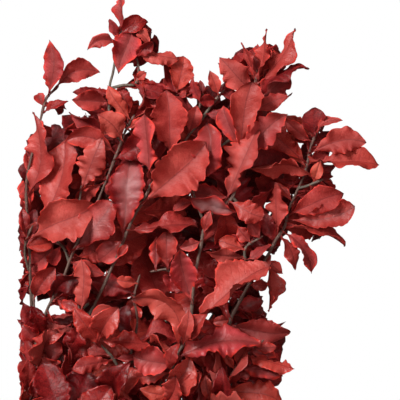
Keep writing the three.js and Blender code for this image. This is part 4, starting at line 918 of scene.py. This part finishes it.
def rod_mesh(rod, sides):
    """A round twig with swellings where leaves start, a slanted cut or a flat start, and a bud."""
    line, run = smooth_route(rod["route"], ROD_STEPS[rod["kind"]])
    source = random.Random(len(rod["route"]) * 31 + rod["node"] * 7 + int(rod["route"][0][0] * 10))
    total = run[-1]
    radius = rod["radii"][0] + (rod["radii"][1] - rod["radii"][0]) * run / total
    radius = radius * (0.93 + 0.05 * np.sin(run / 7 + source.uniform(0, 6)))
    for reach in rod["swellings"]:
        radius = radius + SWELLING * np.exp(-(((run - reach) / SWELLING_REACH) ** 2))
    ahead = units(np.gradient(line, axis=0))
    end, end_ahead = line[-1], ahead[-1]
    for along_bud, share in BUD_RINGS:
        line = np.append(line, [end + end_ahead * along_bud], axis=0)
        ahead = np.append(ahead, [end_ahead], axis=0)
        radius = np.append(radius, rod["radii"][1] * share)
    out = UP if abs(ahead[0][2]) < 0.9 else np.array([1.0, 0, 0])
    angles = 2 * np.pi * np.arange(sides) / sides
    bumps = 1 + 0.05 * np.array([source.uniform(-1, 1) for _ in range(sides)])
    rings = []
    for i, at in enumerate(line):
        out = unit(out - ahead[i] * np.dot(out, ahead[i]))
        side = np.cross(ahead[i], out)
        ring = out * np.cos(angles)[:, None] + side * np.sin(angles)[:, None]
        ring = at + ring * (radius[i] * bumps)[:, None]
        if i == 0 and rod["kind"] == "stem":
            ring = ring - ahead[0] * (CUT_SLANT * radius[0] * np.cos(angles))[:, None]
        rings.append(ring)
    count = len(rings)
    index = np.arange(count * sides).reshape(count, sides)
    beside = np.roll(index, -1, axis=1)
    a, b, c, d = (x.ravel() for x in (index[:-1], beside[:-1], index[1:], beside[1:]))
    faces = [np.stack([a, b, d], 1), np.stack([a, d, c], 1)]
    apex_id = count * sides
    faces.append(np.stack([index[-1], beside[-1], np.full(sides, apex_id)], 1))
    # The cut face has points of its own, in two rings round its middle
    start = rings[0]
    centre = start.mean(axis=0)
    cap = apex_id + 1
    apex = route_tip(rod["route"])
    inner_ring = centre + (start - centre) * PITH_RING
    verts = np.concatenate([*rings, [apex], start, inner_ring, [centre]])
    outer, inner, middle = cap + np.arange(sides), cap + sides + np.arange(sides), cap + 2 * sides
    next_outer, next_inner = np.roll(outer, -1), np.roll(inner, -1)
    faces.append(np.stack([outer, inner, next_outer], 1))
    faces.append(np.stack([next_outer, inner, next_inner], 1))
    faces.append(np.stack([inner, np.full(sides, middle), next_inner], 1))
    # The place is how far along the twig and the way round it, or on the cut face how far out
    reach = np.append(run, [total + 1] * len(BUD_RINGS))
    place = np.zeros((len(verts), 3))
    place[: count * sides, 0] = np.repeat(reach, sides)
    place[: count * sides, 1] = np.tile(np.cos(angles), count)
    place[: count * sides, 2] = np.tile(np.sin(angles), count)
    place[apex_id] = (total + BUD, 0, 0)
    place[outer, 1] = 1.0
    place[inner, 1] = PITH_RING
    # The kind is the share of the length, and 1 on the cut face
    kind = np.zeros((len(verts), 3))
    kind[: count * sides, 0] = np.repeat(reach / (total + BUD), sides)
    kind[cap:, 1] = 1
    return verts, np.concatenate(faces), place, kind, np.zeros((len(verts), 3))


def make_piece(name, parts, material, body, node):
    """One mesh object from parts of points, triangles and what the material reads."""
    offsets = np.cumsum([0] + [len(part[0]) for part in parts[:-1]])
    verts = to_frame(np.concatenate([part[0] for part in parts]))
    faces = np.concatenate([part[1] + offset for part, offset in zip(parts, offsets)])
    mesh = bpy.data.meshes.new(name)
    mesh.vertices.add(len(verts))
    mesh.vertices.foreach_set("co", verts.astype(np.float32).ravel())
    mesh.loops.add(len(faces) * 3)
    mesh.loops.foreach_set("vertex_index", faces.astype(np.int32).ravel())
    mesh.polygons.add(len(faces))
    mesh.polygons.foreach_set("loop_start", np.arange(len(faces), dtype=np.int32) * 3)
    mesh.polygons.foreach_set("use_smooth", np.ones(len(faces), dtype=bool))
    mesh.update(calc_edges=True)
    for attribute, column in (("place", 2), ("kind", 3), ("look", 4)):
        made = mesh.attributes.new(attribute, "FLOAT_VECTOR", "POINT")
        values = np.concatenate([part[column] for part in parts])
        made.data.foreach_set("vector", values.astype(np.float32).ravel())
    mesh.materials.append(material)
    piece = bpy.data.objects.new(name, mesh)
    bpy.context.scene.collection.objects.link(piece)
    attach(piece, body)
    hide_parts(node)


# The map of the plan: the height of the listed leaves, and what any leaf covers
hand_top = np.full(MAP_SIZE, -1.0)
covered = np.zeros(MAP_SIZE, dtype=int)


def cells_of(points):
    """The cells of the map where the camera sees points."""
    nearness = 1000 * CAMERA_HEIGHT / (1000 * CAMERA_HEIGHT + VIEW_MIDDLE[2] - points[..., 2:])
    seen = VIEW_MIDDLE[:2] + (points[..., :2] - VIEW_MIDDLE[:2]) * nearness
    ids = np.floor((seen - MAP_ORIGIN) / CELL).astype(int).reshape(-1, 2)
    return np.clip(ids[:, 0], 0, MAP_SIZE[0] - 1), np.clip(ids[:, 1], 0, MAP_SIZE[1] - 1)


def middle_of_cell(i, j):
    return MAP_ORIGIN + (np.array([i, j]) + 0.5) * CELL


def mark(leaf):
    """Notes in the map what a leaf covers."""
    points, _, _ = leaf_sheet(leaf, *MARKED)
    x, y = cells_of(points)
    if leaf["kind"] == "hand":
        np.maximum.at(hand_top, (x, y), points[..., 2].ravel())
    covered[x, y] = 1


def inside_outline(x, y):
    """Whether a point of the plan lies inside the outline."""
    inside = False
    for (x1, y1), (x2, y2) in zip(OUTLINE, OUTLINE[1:] + OUTLINE[:1]):
        if (y1 > y) != (y2 > y) and x < x1 + (y - y1) / (y2 - y1) * (x2 - x1):
            inside = not inside
    return inside


def widened(cells):
    """A map's cells with those beside them."""
    grown = cells.copy()
    grown[1:] |= cells[:-1]
    grown[:-1] |= cells[1:]
    grown[:, 1:] |= cells[:, :-1]
    grown[:, :-1] |= cells[:, 1:]
    return grown


def rough_tree(leaf, first):
    """A leaf's middle surface as a tree for tests of crossing, from a share of its length on."""
    us, vs = np.linspace(first, 0.97, 8), np.array([-1, -0.5, 0, 0.5, 1])
    points, _, _ = leaf_sheet(leaf, us, vs, fine=False)
    flat = points.reshape(-1, 3)
    index = np.arange(len(flat)).reshape(len(us), len(vs))
    a, b, c, d = grid_corners(index)
    quads = np.stack([a, b, d, c], 1)
    return BVHTree.FromPolygons(flat.tolist(), quads.tolist()), flat.min(axis=0), flat.max(axis=0)


def rod_tree(rod):
    """A stem or a twig as such a tree."""
    verts, faces = rod_mesh(rod, 4)[:2]
    tree = BVHTree.FromPolygons(verts.tolist(), faces.tolist())
    return tree, verts.min(axis=0), verts.max(axis=0)


def give_looks(leaf, number):
    """How red, how dark, how glossy and how pale a leaf is, and the form of some listed leaves."""
    tone = random.Random(number + LOOK_SEED)
    middle_y = (leaf["base"][1] + leaf["tip"][1]) / 2
    low_down = clamped((GLOSSY_BELOW - middle_y) / GLOSSY_WITHIN)
    leaf["hue"] = tone.random()
    leaf["gloss"] = tone.uniform(0, 0.55) + low_down * tone.uniform(0.1, 0.65)
    leaf["pale"] = 0.0
    if leaf["kind"] == "hand":
        ends = tuple(leaf["row"][2:4])
        # Darker tones are partly dye and partly painted shade, brighter ones partly dye and partly
        # painted light
        level = DARK_AND_SHADED_TONE if ends in DARK_AND_SHADED_TIPS else BRIGHT_AND_LIT_TONE if ends in BRIGHT_AND_LIT_TIPS else HAND_TONE
        leaf["tone"] = clamped(tone.gauss(*level))
        leaf["pale"] = PALE_AND_SHEEN_TIPS.get(ends, 0)
        if ends in POINTED_TIPS:
            leaf["tapers"] = (leaf["tapers"][0], TIP_TAPER * tone.uniform(*SHARP_TIPS))
        leaf["tapers"] = OTHER_TAPERS.get(ends, leaf["tapers"])
        leaf["bow"] = OTHER_BOWS.get(ends, leaf["bow"])
        leaf.update(OTHER_LOOKS.get(ends, {}))
    elif leaf["kind"] == "cover":
        is_left = max(leaf["tip"][0], leaf["base"][0]) < DARK_LEFT_OF
        leaf["tone"] = clamped(tone.gauss(*(DARK_COVER_TONE if is_left else COVER_TONE)), 0, 0.95)
    else:
        # Painted shade: the deeper a leaf between lies, the darker its tone
        height = (leaf["base"][2] + leaf["tip"][2]) / 2
        painted_light_share = clamped((height - SHADE_BLACK_BELOW) / SHADE_FADES_OVER, 0.15)
        leaf["tone"] = max(0, tone.gauss(*FILL_TONE)) * painted_light_share


# The cells inside the outline, those of the light gaps, and those that a small leaf may cover
for number, leaf in enumerate(leaves):
    give_looks(leaf, number)
    mark(leaf)
inner = np.zeros(MAP_SIZE, dtype=bool)
gap_cells = np.zeros(MAP_SIZE, dtype=bool)
for i in range(MAP_SIZE[0]):
    for j in range(MAP_SIZE[1]):
        x, y = middle_of_cell(i, j)
        inner[i, j] = y > FILL_FOOT and inside_outline(x, y)
        gap_cells[i, j] = any(
            math.hypot(x - gap_x, y - gap_y) < radius + CELL / 2
            for gap_x, gap_y, radius in LIGHT_GAPS
        )
allowed = widened(inner) & ~gap_cells

# What a small leaf may not cross, and the places on the stems and twigs where one may start
obstacles = [rough_tree(leaf, SOLID_FROM) for leaf in leaves] + [rod_tree(rod) for rod in rods]
lows = np.array([low for _, low, _ in obstacles])
highs = np.array([high for _, _, high in obstacles])
yielding = np.array([leaf["kind"] != "hand" for leaf in leaves] + [False] * len(rods))
places = []
for rod_id, rod in enumerate(rods):
    total = route_length(rod["route"])
    for reach in np.arange(FIRST_PLACE, total, PLACE_STEP):
        at, direction = along(rod["route"], reach / total)
        if at[1] > FILL_FOOT:
            places.append((at, direction, rod_id))
place_points = np.array([at for at, _, _ in places])
place_used = np.zeros(len(places))
source = random.Random(PLACE_SEED)


def is_clear(tree, low, high, soft):
    """Whether a leaf crosses nothing or, if soft, nothing but leaves that aren't listed."""
    hits = np.all(lows <= high, axis=1) & np.all(highs >= low, axis=1) & ~(yielding & soft)
    return not any(tree.overlap(obstacles[i][0]) for i in np.flatnonzero(hits))


def draft_leaf(chosen, heading, length, rise, seed, looks):
    """A small leaf from a place, with its points and their cells, or None if it strays."""
    at, _, rod_id = places[chosen]
    flat = math.sqrt(length**2 - rise**2)
    tip = at + np.array([math.cos(heading) * flat, math.sin(heading) * flat, rise])
    if tip[2] < LOWEST_TIP:
        return None
    width = length * source.uniform(*looks["width"])
    leaf = make_leaf(at, tip, seed, width=width, roll=source.gauss(0, looks["roll"]))
    leaf["arch"] = source.uniform(*looks["arch"])
    leaf["bow"] = source.uniform(*SMALL_BOW)
    leaf["fold"] = source.uniform(*looks["fold"])
    leaf.update(node=rods[rod_id]["node"], kind=looks["kind"], chosen=chosen)
    points, _, _ = leaf_sheet(leaf, *DRAFTED, fine=False)
    cells = cells_of(points)
    if points[..., 2].min() < LOWEST or not allowed[cells].all():
        return None
    return leaf, points, cells


def keep(leaf, soft=False):
    """Adds a leaf if it is clear."""
    global lows, highs, yielding
    tree, low, high = rough_tree(leaf, FREE_FROM)
    if not is_clear(tree, low, high, soft):
        return False
    fills.append(leaf)
    obstacles.append(rough_tree(leaf, SOLID_FROM))
    lows = np.vstack([lows, obstacles[-1][1]])
    highs = np.vstack([highs, obstacles[-1][2]])
    yielding = np.append(yielding, True)
    place_used[leaf["chosen"]] += 1
    mark(leaf)
    return True


def wants_cover(at, kind):
    """How long a covering leaf may be at a place, or None if the stem stays bare there."""
    x, y = at[:2]
    if SPRAY_BOX[0] < x < SPRAY_BOX[2] and SPRAY_BOX[1] < y < SPRAY_BOX[3]:
        return SPRAY_COVER
    low = y < COVER_TOP or x < COVER_LEFT and y < COVER_LEFT_TOP
    return COVER_LENGTH if low and y > COVER_FOOT and kind != "spray" else None


fills = []

# Leaves that rise over the bare stems of the lower part and hide them
for chosen in source.sample(range(len(places)), len(places)):
    at, direction, rod_id = places[chosen]
    lengths = wants_cover(at, rods[rod_id]["kind"])
    if lengths is None:
        continue
    for attempt in range(COVER_TRIES):
        heading = math.atan2(direction[1], direction[0]) + source.uniform(-COVER_SPREAD, COVER_SPREAD)
        length = source.uniform(*lengths)
        rise = source.uniform(*COVER_RISE) * length
        seed = COVER_SEED + chosen * 10 + attempt
        drafted = draft_leaf(chosen, heading, length, rise, seed, COVER_LOOKS)
        if drafted is None:
            continue
        leaf, points, cells = drafted
        on_hand = (hand_top[cells] > 0).mean()
        limit = SPRAY_ON_HAND if lengths is SPRAY_COVER else ON_HAND
        if on_hand < limit and points[..., 2].max() < COVER_HEIGHT and keep(leaf):
            break

# Leaves under the listed ones that close the gaps between them
for attempt in range(FILL_TRIES):
    if attempt % RECOUNT == 0:
        empty = np.argwhere(inner & ~gap_cells & (covered == 0))
        if len(empty) < ENOUGH:
            break
    target = middle_of_cell(*empty[source.randrange(len(empty))])
    away = place_points[:, :2] - target
    distance = np.hypot(away[:, 0], away[:, 1]) + CROWDED * place_used
    soft = attempt > FILL_TRIES * SOFT_AFTER
    how = SOFT if soft else FIRM
    near = [i for i in np.argsort(distance)[: how["near"]] if distance[i] < FILL_REACH]
    if not near:
        continue
    chosen = near[int(source.random() ** NEARER * len(near))]
    span = target - place_points[chosen][:2]
    heading = math.atan2(span[1], span[0]) + source.uniform(-FILL_SPREAD, FILL_SPREAD)
    reach = np.hypot(*span)
    length = reach * source.uniform(*how["past"]) + source.uniform(*how["more"])
    length = clamped(length, *FILL_LENGTH)
    rise = source.uniform(*FILL_RISE) * length
    drafted = draft_leaf(chosen, heading, length, rise, FILL_SEED + attempt, FILL_LOOKS)
    if drafted is None:
        continue
    leaf, points, cells = drafted
    tops = np.where(hand_top[cells] < 0, np.inf, hand_top[cells] - UNDER_HAND)
    tops = tops.reshape(points.shape[:2])
    if (points[STALK_ROWS:, :, 2] > tops[STALK_ROWS:]).any():
        continue
    new_cells = len(set(zip(*(ids[covered[cells] == 0] for ids in cells))))
    if new_cells >= how["closes"]:
        keep(leaf, soft)
for number, leaf in enumerate(fills):
    give_looks(leaf, len(leaves) + number)
leaves += fills


class Shading:
    """Short calls for a material's nodes."""

    def __init__(self, name):
        self.material = bpy.data.materials.new(name)
        self.material.use_nodes = True
        self.tree = self.material.node_tree
        self.tree.nodes.clear()

    def add(self, kind, *inputs, **settings):
        """A node whose inputs are values or other nodes' outputs."""
        made = self.tree.nodes.new(kind)
        for key, value in settings.items():
            setattr(made, key, value)
        for i, value in enumerate(inputs):
            self.give(made.inputs[i], value)
        return made

    def give(self, socket, value):
        if isinstance(value, bpy.types.NodeSocket):
            self.tree.links.new(value, socket)
        else:
            socket.default_value = value

    def math(self, operation, *inputs):
        return self.add("ShaderNodeMath", *inputs, operation=operation).outputs[0]

    def ramp(self, value, low, high):
        """0 below low and 1 above high, with a smooth change between them."""
        made = self.add("ShaderNodeMapRange", value, low, high, 0.0, 1.0)
        made.interpolation_type = "SMOOTHSTEP"
        return made.outputs[0]

    def times(self, a, b):
        return self.math("MULTIPLY", a, b)

    def plus(self, a, b):
        return self.math("ADD", a, b)

    def minus(self, a, b):
        return self.math("SUBTRACT", a, b)

    def attribute(self, name):
        """The three numbers that an attribute of the mesh holds."""
        made = self.add("ShaderNodeAttribute", attribute_name=name)
        return self.add("ShaderNodeSeparateXYZ", made.outputs["Vector"]).outputs

    def position(self):
        """Where a point lies, in metres."""
        return self.add("ShaderNodeTexCoord").outputs["Object"]

    def mix(self, share, a, b, blend="MIX"):
        """Two colours mixed: the node has them as its sockets 6 and 7."""
        made = self.add("ShaderNodeMix", data_type="RGBA", blend_type=blend)
        self.give(made.inputs["Factor"], share)
        self.give(made.inputs[6], a)
        self.give(made.inputs[7], b)
        return made.outputs[2]

    def noise(self, vector, scale, detail):
        made = self.add("ShaderNodeTexNoise")
        self.give(made.inputs["Vector"], vector)
        made.inputs["Scale"].default_value = scale
        made.inputs["Detail"].default_value = detail
        return made.outputs["Fac"]

    def colours(self, value, stops):
        """A colour between those of the stops, each a level and its colour."""
        made = self.add("ShaderNodeValToRGB", value)
        ramp = made.color_ramp
        while len(ramp.elements) < len(stops):
            ramp.elements.new(0.5)
        for element, (at, colour) in zip(ramp.elements, stops):
            element.position = at
            element.color = (*colour, 1)
        return made.outputs[0]

    def finish(self, colour, roughness, height, depth, specular=0.5):
        shader = self.add("ShaderNodeBsdfPrincipled")
        self.give(shader.inputs["Base Color"], colour)
        self.give(shader.inputs["Roughness"], roughness)
        shader.inputs["Specular IOR Level"].default_value = specular
        bump = self.add("ShaderNodeBump")
        bump.inputs["Distance"].default_value = depth
        self.give(bump.inputs["Height"], height)
        self.give(shader.inputs["Normal"], bump.outputs[0])
        self.add("ShaderNodeOutputMaterial", shader.outputs[0])
        return self.material


def leaf_material():
    """Dyed leaves, whose colour changes from leaf to leaf and from midrib to margin."""
    s = Shading("red_leaf")
    run, rib, rim = s.attribute("place")
    tone, under, u = s.attribute("kind")
    hue, gloss, pale = s.attribute("look")
    at = s.position()
    # One side of the midrib, which gets painted shade
    shaded_half = s.ramp(rib, -0.3, 0.3)
    rib = s.math("ABSOLUTE", rib)
    mottle = s.noise(at, 160, 3)
    fine = s.noise(at, 1100, 3)
    level = s.plus(tone, s.times(s.minus(mottle, 0.5), 0.6))
    level = s.plus(level, s.times(s.minus(fine, 0.5), 0.7))
    blade = s.colours(level, [
        (0.0, (0.085, 0.0015, 0.003)),
        (0.3, (0.270, 0.010, 0.011)),
        (0.65, (0.450, 0.044, 0.036)),
        (1.0, (0.540, 0.085, 0.066)),
    ])
    # Some leaves lean to orange and others to crimson, and most have one half darker: painted shade,
    # as on a folded leaf whose other half faces the light
    blade = s.mix(s.ramp(hue, 0.35, 0.0), blade, (1.02, 1.10, 0.90, 1), "MULTIPLY")
    blade = s.mix(s.ramp(hue, 0.6, 1.0), blade, (0.95, 0.70, 1.0, 1), "MULTIPLY")
    painted_half_shade = s.times(shaded_half, s.ramp(hue, 0.1, 0.6))
    blade = s.mix(painted_half_shade, blade, (0.80, 0.72, 0.74, 1), "MULTIPLY")
    inner_part = s.times(s.ramp(rib, 6.5, 0.5), s.ramp(tone, 0.1, 0.6))
    brown = s.mix(s.times(inner_part, s.times(hue, 0.7)), blade, (0.22, 0.038, 0.034, 1))
    # Side veins leave the midrib and run forward to the margin
    wander = s.times(s.minus(s.noise(at, 220, 1), 0.5), 3.2)
    line = s.plus(s.minus(run, s.times(rib, 0.75)), wander)
    phase = s.math("FRACT", s.math("DIVIDE", line, VEIN_STEP))
    vein = s.ramp(s.math("ABSOLUTE", s.minus(phase, 0.5)), 0.10, 0.0)
    vein = s.times(vein, s.ramp(rim, 0.4, 2.2))
    midrib = s.ramp(rib, 0.55, 0.12)
    veined = s.mix(s.times(vein, 0.08), brown, (0.60, 0.09, 0.06, 1))
    ribbed = s.mix(s.times(midrib, 0.5), veined, (0.13, 0.008, 0.010, 1))
    # The margin is bright red in places: partly its own brighter dye, partly a painted highlight,
    # strongest on the brighter leaves
    patches = s.ramp(s.noise(at, 170, 2), 0.38, 0.62)
    wide = s.plus(0.9, s.times(s.ramp(hue, 0.78, 0.92), 2.0))
    near_rim = s.minus(1.0, s.math("DIVIDE", rim, wide))
    margin = s.times(s.ramp(near_rim, 0.0, 0.9), patches)
    margin = s.times(margin, s.ramp(u, 0.05, 0.3))
    rim_colour_and_highlight = s.times(margin, s.ramp(tone, 0.0, 0.8))
    with_rim_and_highlight = s.mix(s.times(rim_colour_and_highlight, 0.9), ribbed, (0.78, 0.050, 0.032, 1))
    # A pale grey-pink patch on a few, a painted sheen on two of them and the leaf's own paler colour
    # on the third, then dry dark tips, and a duller underside
    pale_and_sheen_patch = s.times(pale, s.ramp(s.noise(at, 60, 2), 0.36, 0.66))
    pale_and_sheen_patch = s.times(pale_and_sheen_patch, s.ramp(rim, 0.5, 3.5))
    with_pale_and_sheen = s.mix(s.times(pale_and_sheen_patch, 0.75), with_rim_and_highlight, (0.46, 0.27, 0.27, 1))
    tipped = s.mix(s.times(s.ramp(u, 0.93, 1.0), 0.7), with_pale_and_sheen, (0.07, 0.012, 0.012, 1))
    below = s.mix(0.45, tipped, (0.36, 0.075, 0.060, 1))
    colour = s.mix(under, tipped, below)
    rough = s.plus(0.54, s.times(mottle, 0.28))
    rough = s.minus(rough, s.times(gloss, 0.42))
    rough = s.math("MAXIMUM", s.plus(rough, s.times(under, 0.1)), 0.22)
    height = s.plus(s.times(vein, -0.25), s.times(mottle, 2.2))
    height = s.plus(height, s.times(fine, 0.45))
    return s.finish(colour, rough, height, 0.00045, LEAF_SPECULAR)


def bark_material():
    """Streaked bark, redder towards the tips, and the rings of a cut end."""
    s = Shading("grey_brown_bark")
    run, cos_side, sin_side = s.attribute("place")
    youth, cut, _ = s.attribute("kind")
    round_it = s.add("ShaderNodeCombineXYZ", s.times(run, 0.06), cos_side, sin_side)
    streak = s.noise(round_it.outputs[0], 2.6, 3)
    at = s.position()
    spots = s.noise(at, 700, 2)
    bark = s.colours(streak, [
        (0.25, (0.045, 0.032, 0.025)),
        (0.5, (0.125, 0.102, 0.078)),
        (0.75, (0.26, 0.235, 0.180)),
    ])
    red = s.times(s.ramp(youth, 0.45, 1.0), 0.45)
    bark = s.mix(red, bark, (0.16, 0.035, 0.03, 1))
    bark = s.mix(s.times(s.ramp(spots, 0.6, 0.72), 0.5), bark, (0.33, 0.27, 0.22, 1))
    ring = s.math("FRACT", s.times(cos_side, 3.0))
    wood = s.mix(s.ramp(ring, 0.5, 0.9), (0.55, 0.30, 0.19, 1), (0.40, 0.17, 0.11, 1))
    wood = s.mix(s.ramp(cos_side, 0.16, 0.08), wood, (0.10, 0.05, 0.04, 1))
    wood = s.mix(s.ramp(cos_side, 0.84, 0.97), wood, (0.12, 0.07, 0.05, 1))
    colour = s.mix(cut, bark, wood)
    height = s.plus(streak, s.times(spots, 0.4))
    return s.finish(colour, 0.62, height, 0.0004)


def band_material():
    """Pale brown rubber."""
    s = Shading("rubber_band")
    at = s.position()
    cloud = s.noise(at, 90, 3)
    grain = s.noise(at, 1600, 2)
    colour = s.colours(cloud, [(0.3, (0.42, 0.31, 0.20)), (0.7, (0.54, 0.42, 0.29))])
    return s.finish(colour, 0.55, grain, 0.0002)


def band_mesh():
    """Three turns of one elastic band round the stems, a little uneven."""
    sixth = math.pi / 3
    row = STEM_SPACING * math.sin(sixth)
    corners = [
        (STEM_SPACING, row), (-STEM_SPACING, row), (-1.5 * STEM_SPACING, 0),
        (-STEM_SPACING, -row), (STEM_SPACING, -row), (1.5 * STEM_SPACING, 0),
    ]
    path = []
    for i, (x, z) in enumerate(corners):
        first = math.pi / 2 + (i - 1) * sixth
        for angle in np.linspace(first, first + sixth, CORNER_POINTS):
            path.append((x, z, math.cos(angle), math.sin(angle)))
        after = corners[(i + 1) % len(corners)]
        angle = first + sixth
        for t in (0.25, 0.5, 0.75):
            at = (x + (after[0] - x) * t, z + (after[1] - z) * t)
            path.append((*at, math.cos(angle), math.sin(angle)))
    inner = STEM_RADIUS + BAND_GAP
    half = BAND_TURNS * BAND_STRAND / 2
    profile = [(inner, -half + BAND_EDGE)]
    for strand in range(BAND_TURNS):
        middle = -half + (strand + 0.5) * BAND_STRAND
        for t in np.linspace(-1, 1, STRAND_POINTS):
            away = inner + BAND_THICKNESS * (0.5 + 0.5 * math.sqrt(1 - BAND_VALLEY * t * t))
            profile.append((away, middle + t * BAND_STRAND * 0.5))
    profile.append((inner, half - BAND_EDGE))
    source = random.Random(BAND_SEED)
    phases = [source.uniform(0, 6) for _ in range(3)]
    points = []
    for i, (x, z, cos_out, sin_out) in enumerate(path):
        around = 2 * math.pi * i / len(path)
        drift = BAND_DRIFT[0] * math.sin(around + phases[0])
        drift += BAND_DRIFT[1] * math.sin(3 * around + phases[1])
        for away, run in profile:
            thin = 1 + BAND_UNEVEN * math.sin(2 * around + phases[2] + run)
            reach = inner + (away - inner) * thin
            points.append(in_bundle(x + reach * cos_out, z + reach * sin_out, run + drift))
    size = len(profile)
    faces = []
    for i in range(len(path)):
        for k in range(size):
            a, b = i * size + k, i * size + (k + 1) % size
            c = (i + 1) % len(path) * size
            d = c + (k + 1) % size
            faces += [(a, b, d), (a, d, c + k)]
    nothing = np.zeros((len(points), 3))
    return np.array(points), np.array(faces), nothing, nothing, nothing


# Two pieces for each stem, its leaves and its wood, and one for the band
red_leaf, bark, rubber = leaf_material(), bark_material(), band_material()
for node, stem in enumerate(STEMS):
    blades = []
    for leaf in [leaf for leaf in leaves if leaf["node"] == node]:
        steps = math.ceil(leaf["length"] / STEPS[leaf["kind"]]) + 4
        blades.append(leaf_mesh(leaf, steps, ACROSS if leaf["kind"] == "hand" else FILL_ACROSS))
    wood = [rod_mesh(rod, ROD_SIDES[rod["kind"]]) for rod in rods if rod["node"] == node]
    make_piece(stem["name"] + "_leaves", blades, red_leaf, "root", stem["name"])
    make_piece(stem["name"] + "_wood", wood, bark, "root", stem["name"])
make_piece("elastic_band_turns", [band_mesh()], rubber, "root", "elastic_band")

# The camera looks straight down on the leafy part, from where the plan's y axis is up
camera_data = bpy.data.cameras.new("camera")
camera_data.sensor_width = SENSOR
camera_data.lens = SENSOR * CAMERA_HEIGHT / VIEW_SPAN
camera_data.clip_end = CAMERA_FAR
camera = bpy.data.objects.new("camera", camera_data)
bpy.context.scene.collection.objects.link(camera)
aim = Vector(to_frame(VIEW_MIDDLE))
above = Matrix.Translation(aim + Vector((0, 0, CAMERA_HEIGHT)))
camera.matrix_world = above @ Matrix.Rotation(LEAN, 4, "Z")
bpy.context.scene.camera = camera


def area_light(name, away, size, power, colour=(1, 1, 1)):
    """A soft square light that faces the leafy part, away from it in the plan's directions."""
    data = bpy.data.lights.new(name, "AREA")
    data.shape = "SQUARE"
    data.size = size
    data.energy = power
    data.color = colour
    made = bpy.data.objects.new(name, data)
    bpy.context.scene.collection.objects.link(made)
    offset = Vector(turn_back @ np.array(away))
    made.location = aim + offset
    made.rotation_euler = offset.to_track_quat("Z", "Y").to_euler()


area_light("key", away=(-1.0, 0.9, 1.25), size=0.7, power=43, colour=(1.0, 0.985, 0.97))
area_light("overhead", away=(0.3, 0.2, 2.2), size=1.0, power=8)


def glowing(name, points, faces):
    """A white surface that only the camera sees, as in a cut-out picture."""
    mesh = bpy.data.meshes.new(name)
    mesh.from_pydata(points, [], faces)
    made = bpy.data.objects.new(name, mesh)
    bpy.context.scene.collection.objects.link(made)
    shading = Shading(name)
    glow = shading.add("ShaderNodeEmission", (1, 1, 1, 1), 1.0)
    shading.add("ShaderNodeOutputMaterial", glow.outputs[0])
    mesh.materials.append(shading.material)
    made.visible_diffuse = False
    made.visible_glossy = False
    made.visible_shadow = False


corners = [(x * SURROUND, y * SURROUND, 0) for x, y in ((-1, -1), (1, -1), (1, 1), (-1, 1))]
glowing("floor", corners, [(0, 1, 2, 3)])
angles = [2 * math.pi * i / SURROUND_SIDES for i in range(SURROUND_SIDES)]
ring = [Vector((math.cos(angle), math.sin(angle), 0)) * SURROUND for angle in angles]
walls = []
for i in range(SURROUND_SIDES):
    after = (i + 1) % SURROUND_SIDES
    walls.append((i, after, SURROUND_SIDES + after, SURROUND_SIDES + i))
low_ring = [point + Vector((0, 0, SURROUND_FOOT)) for point in ring]
high_ring = [point + Vector((0, 0, SURROUND)) for point in low_ring]
glowing("surround", low_ring + high_ring, walls)

world = bpy.data.worlds.new("studio")
world.use_nodes = True
background = world.node_tree.nodes["Background"]
background.inputs["Color"].default_value = SURROUND_LIGHT
background.inputs["Strength"].default_value = SURROUND_STRENGTH
bpy.context.scene.world = world
bpy.context.scene.view_settings.view_transform = "Standard"
bpy.context.scene.view_settings.look = "None"
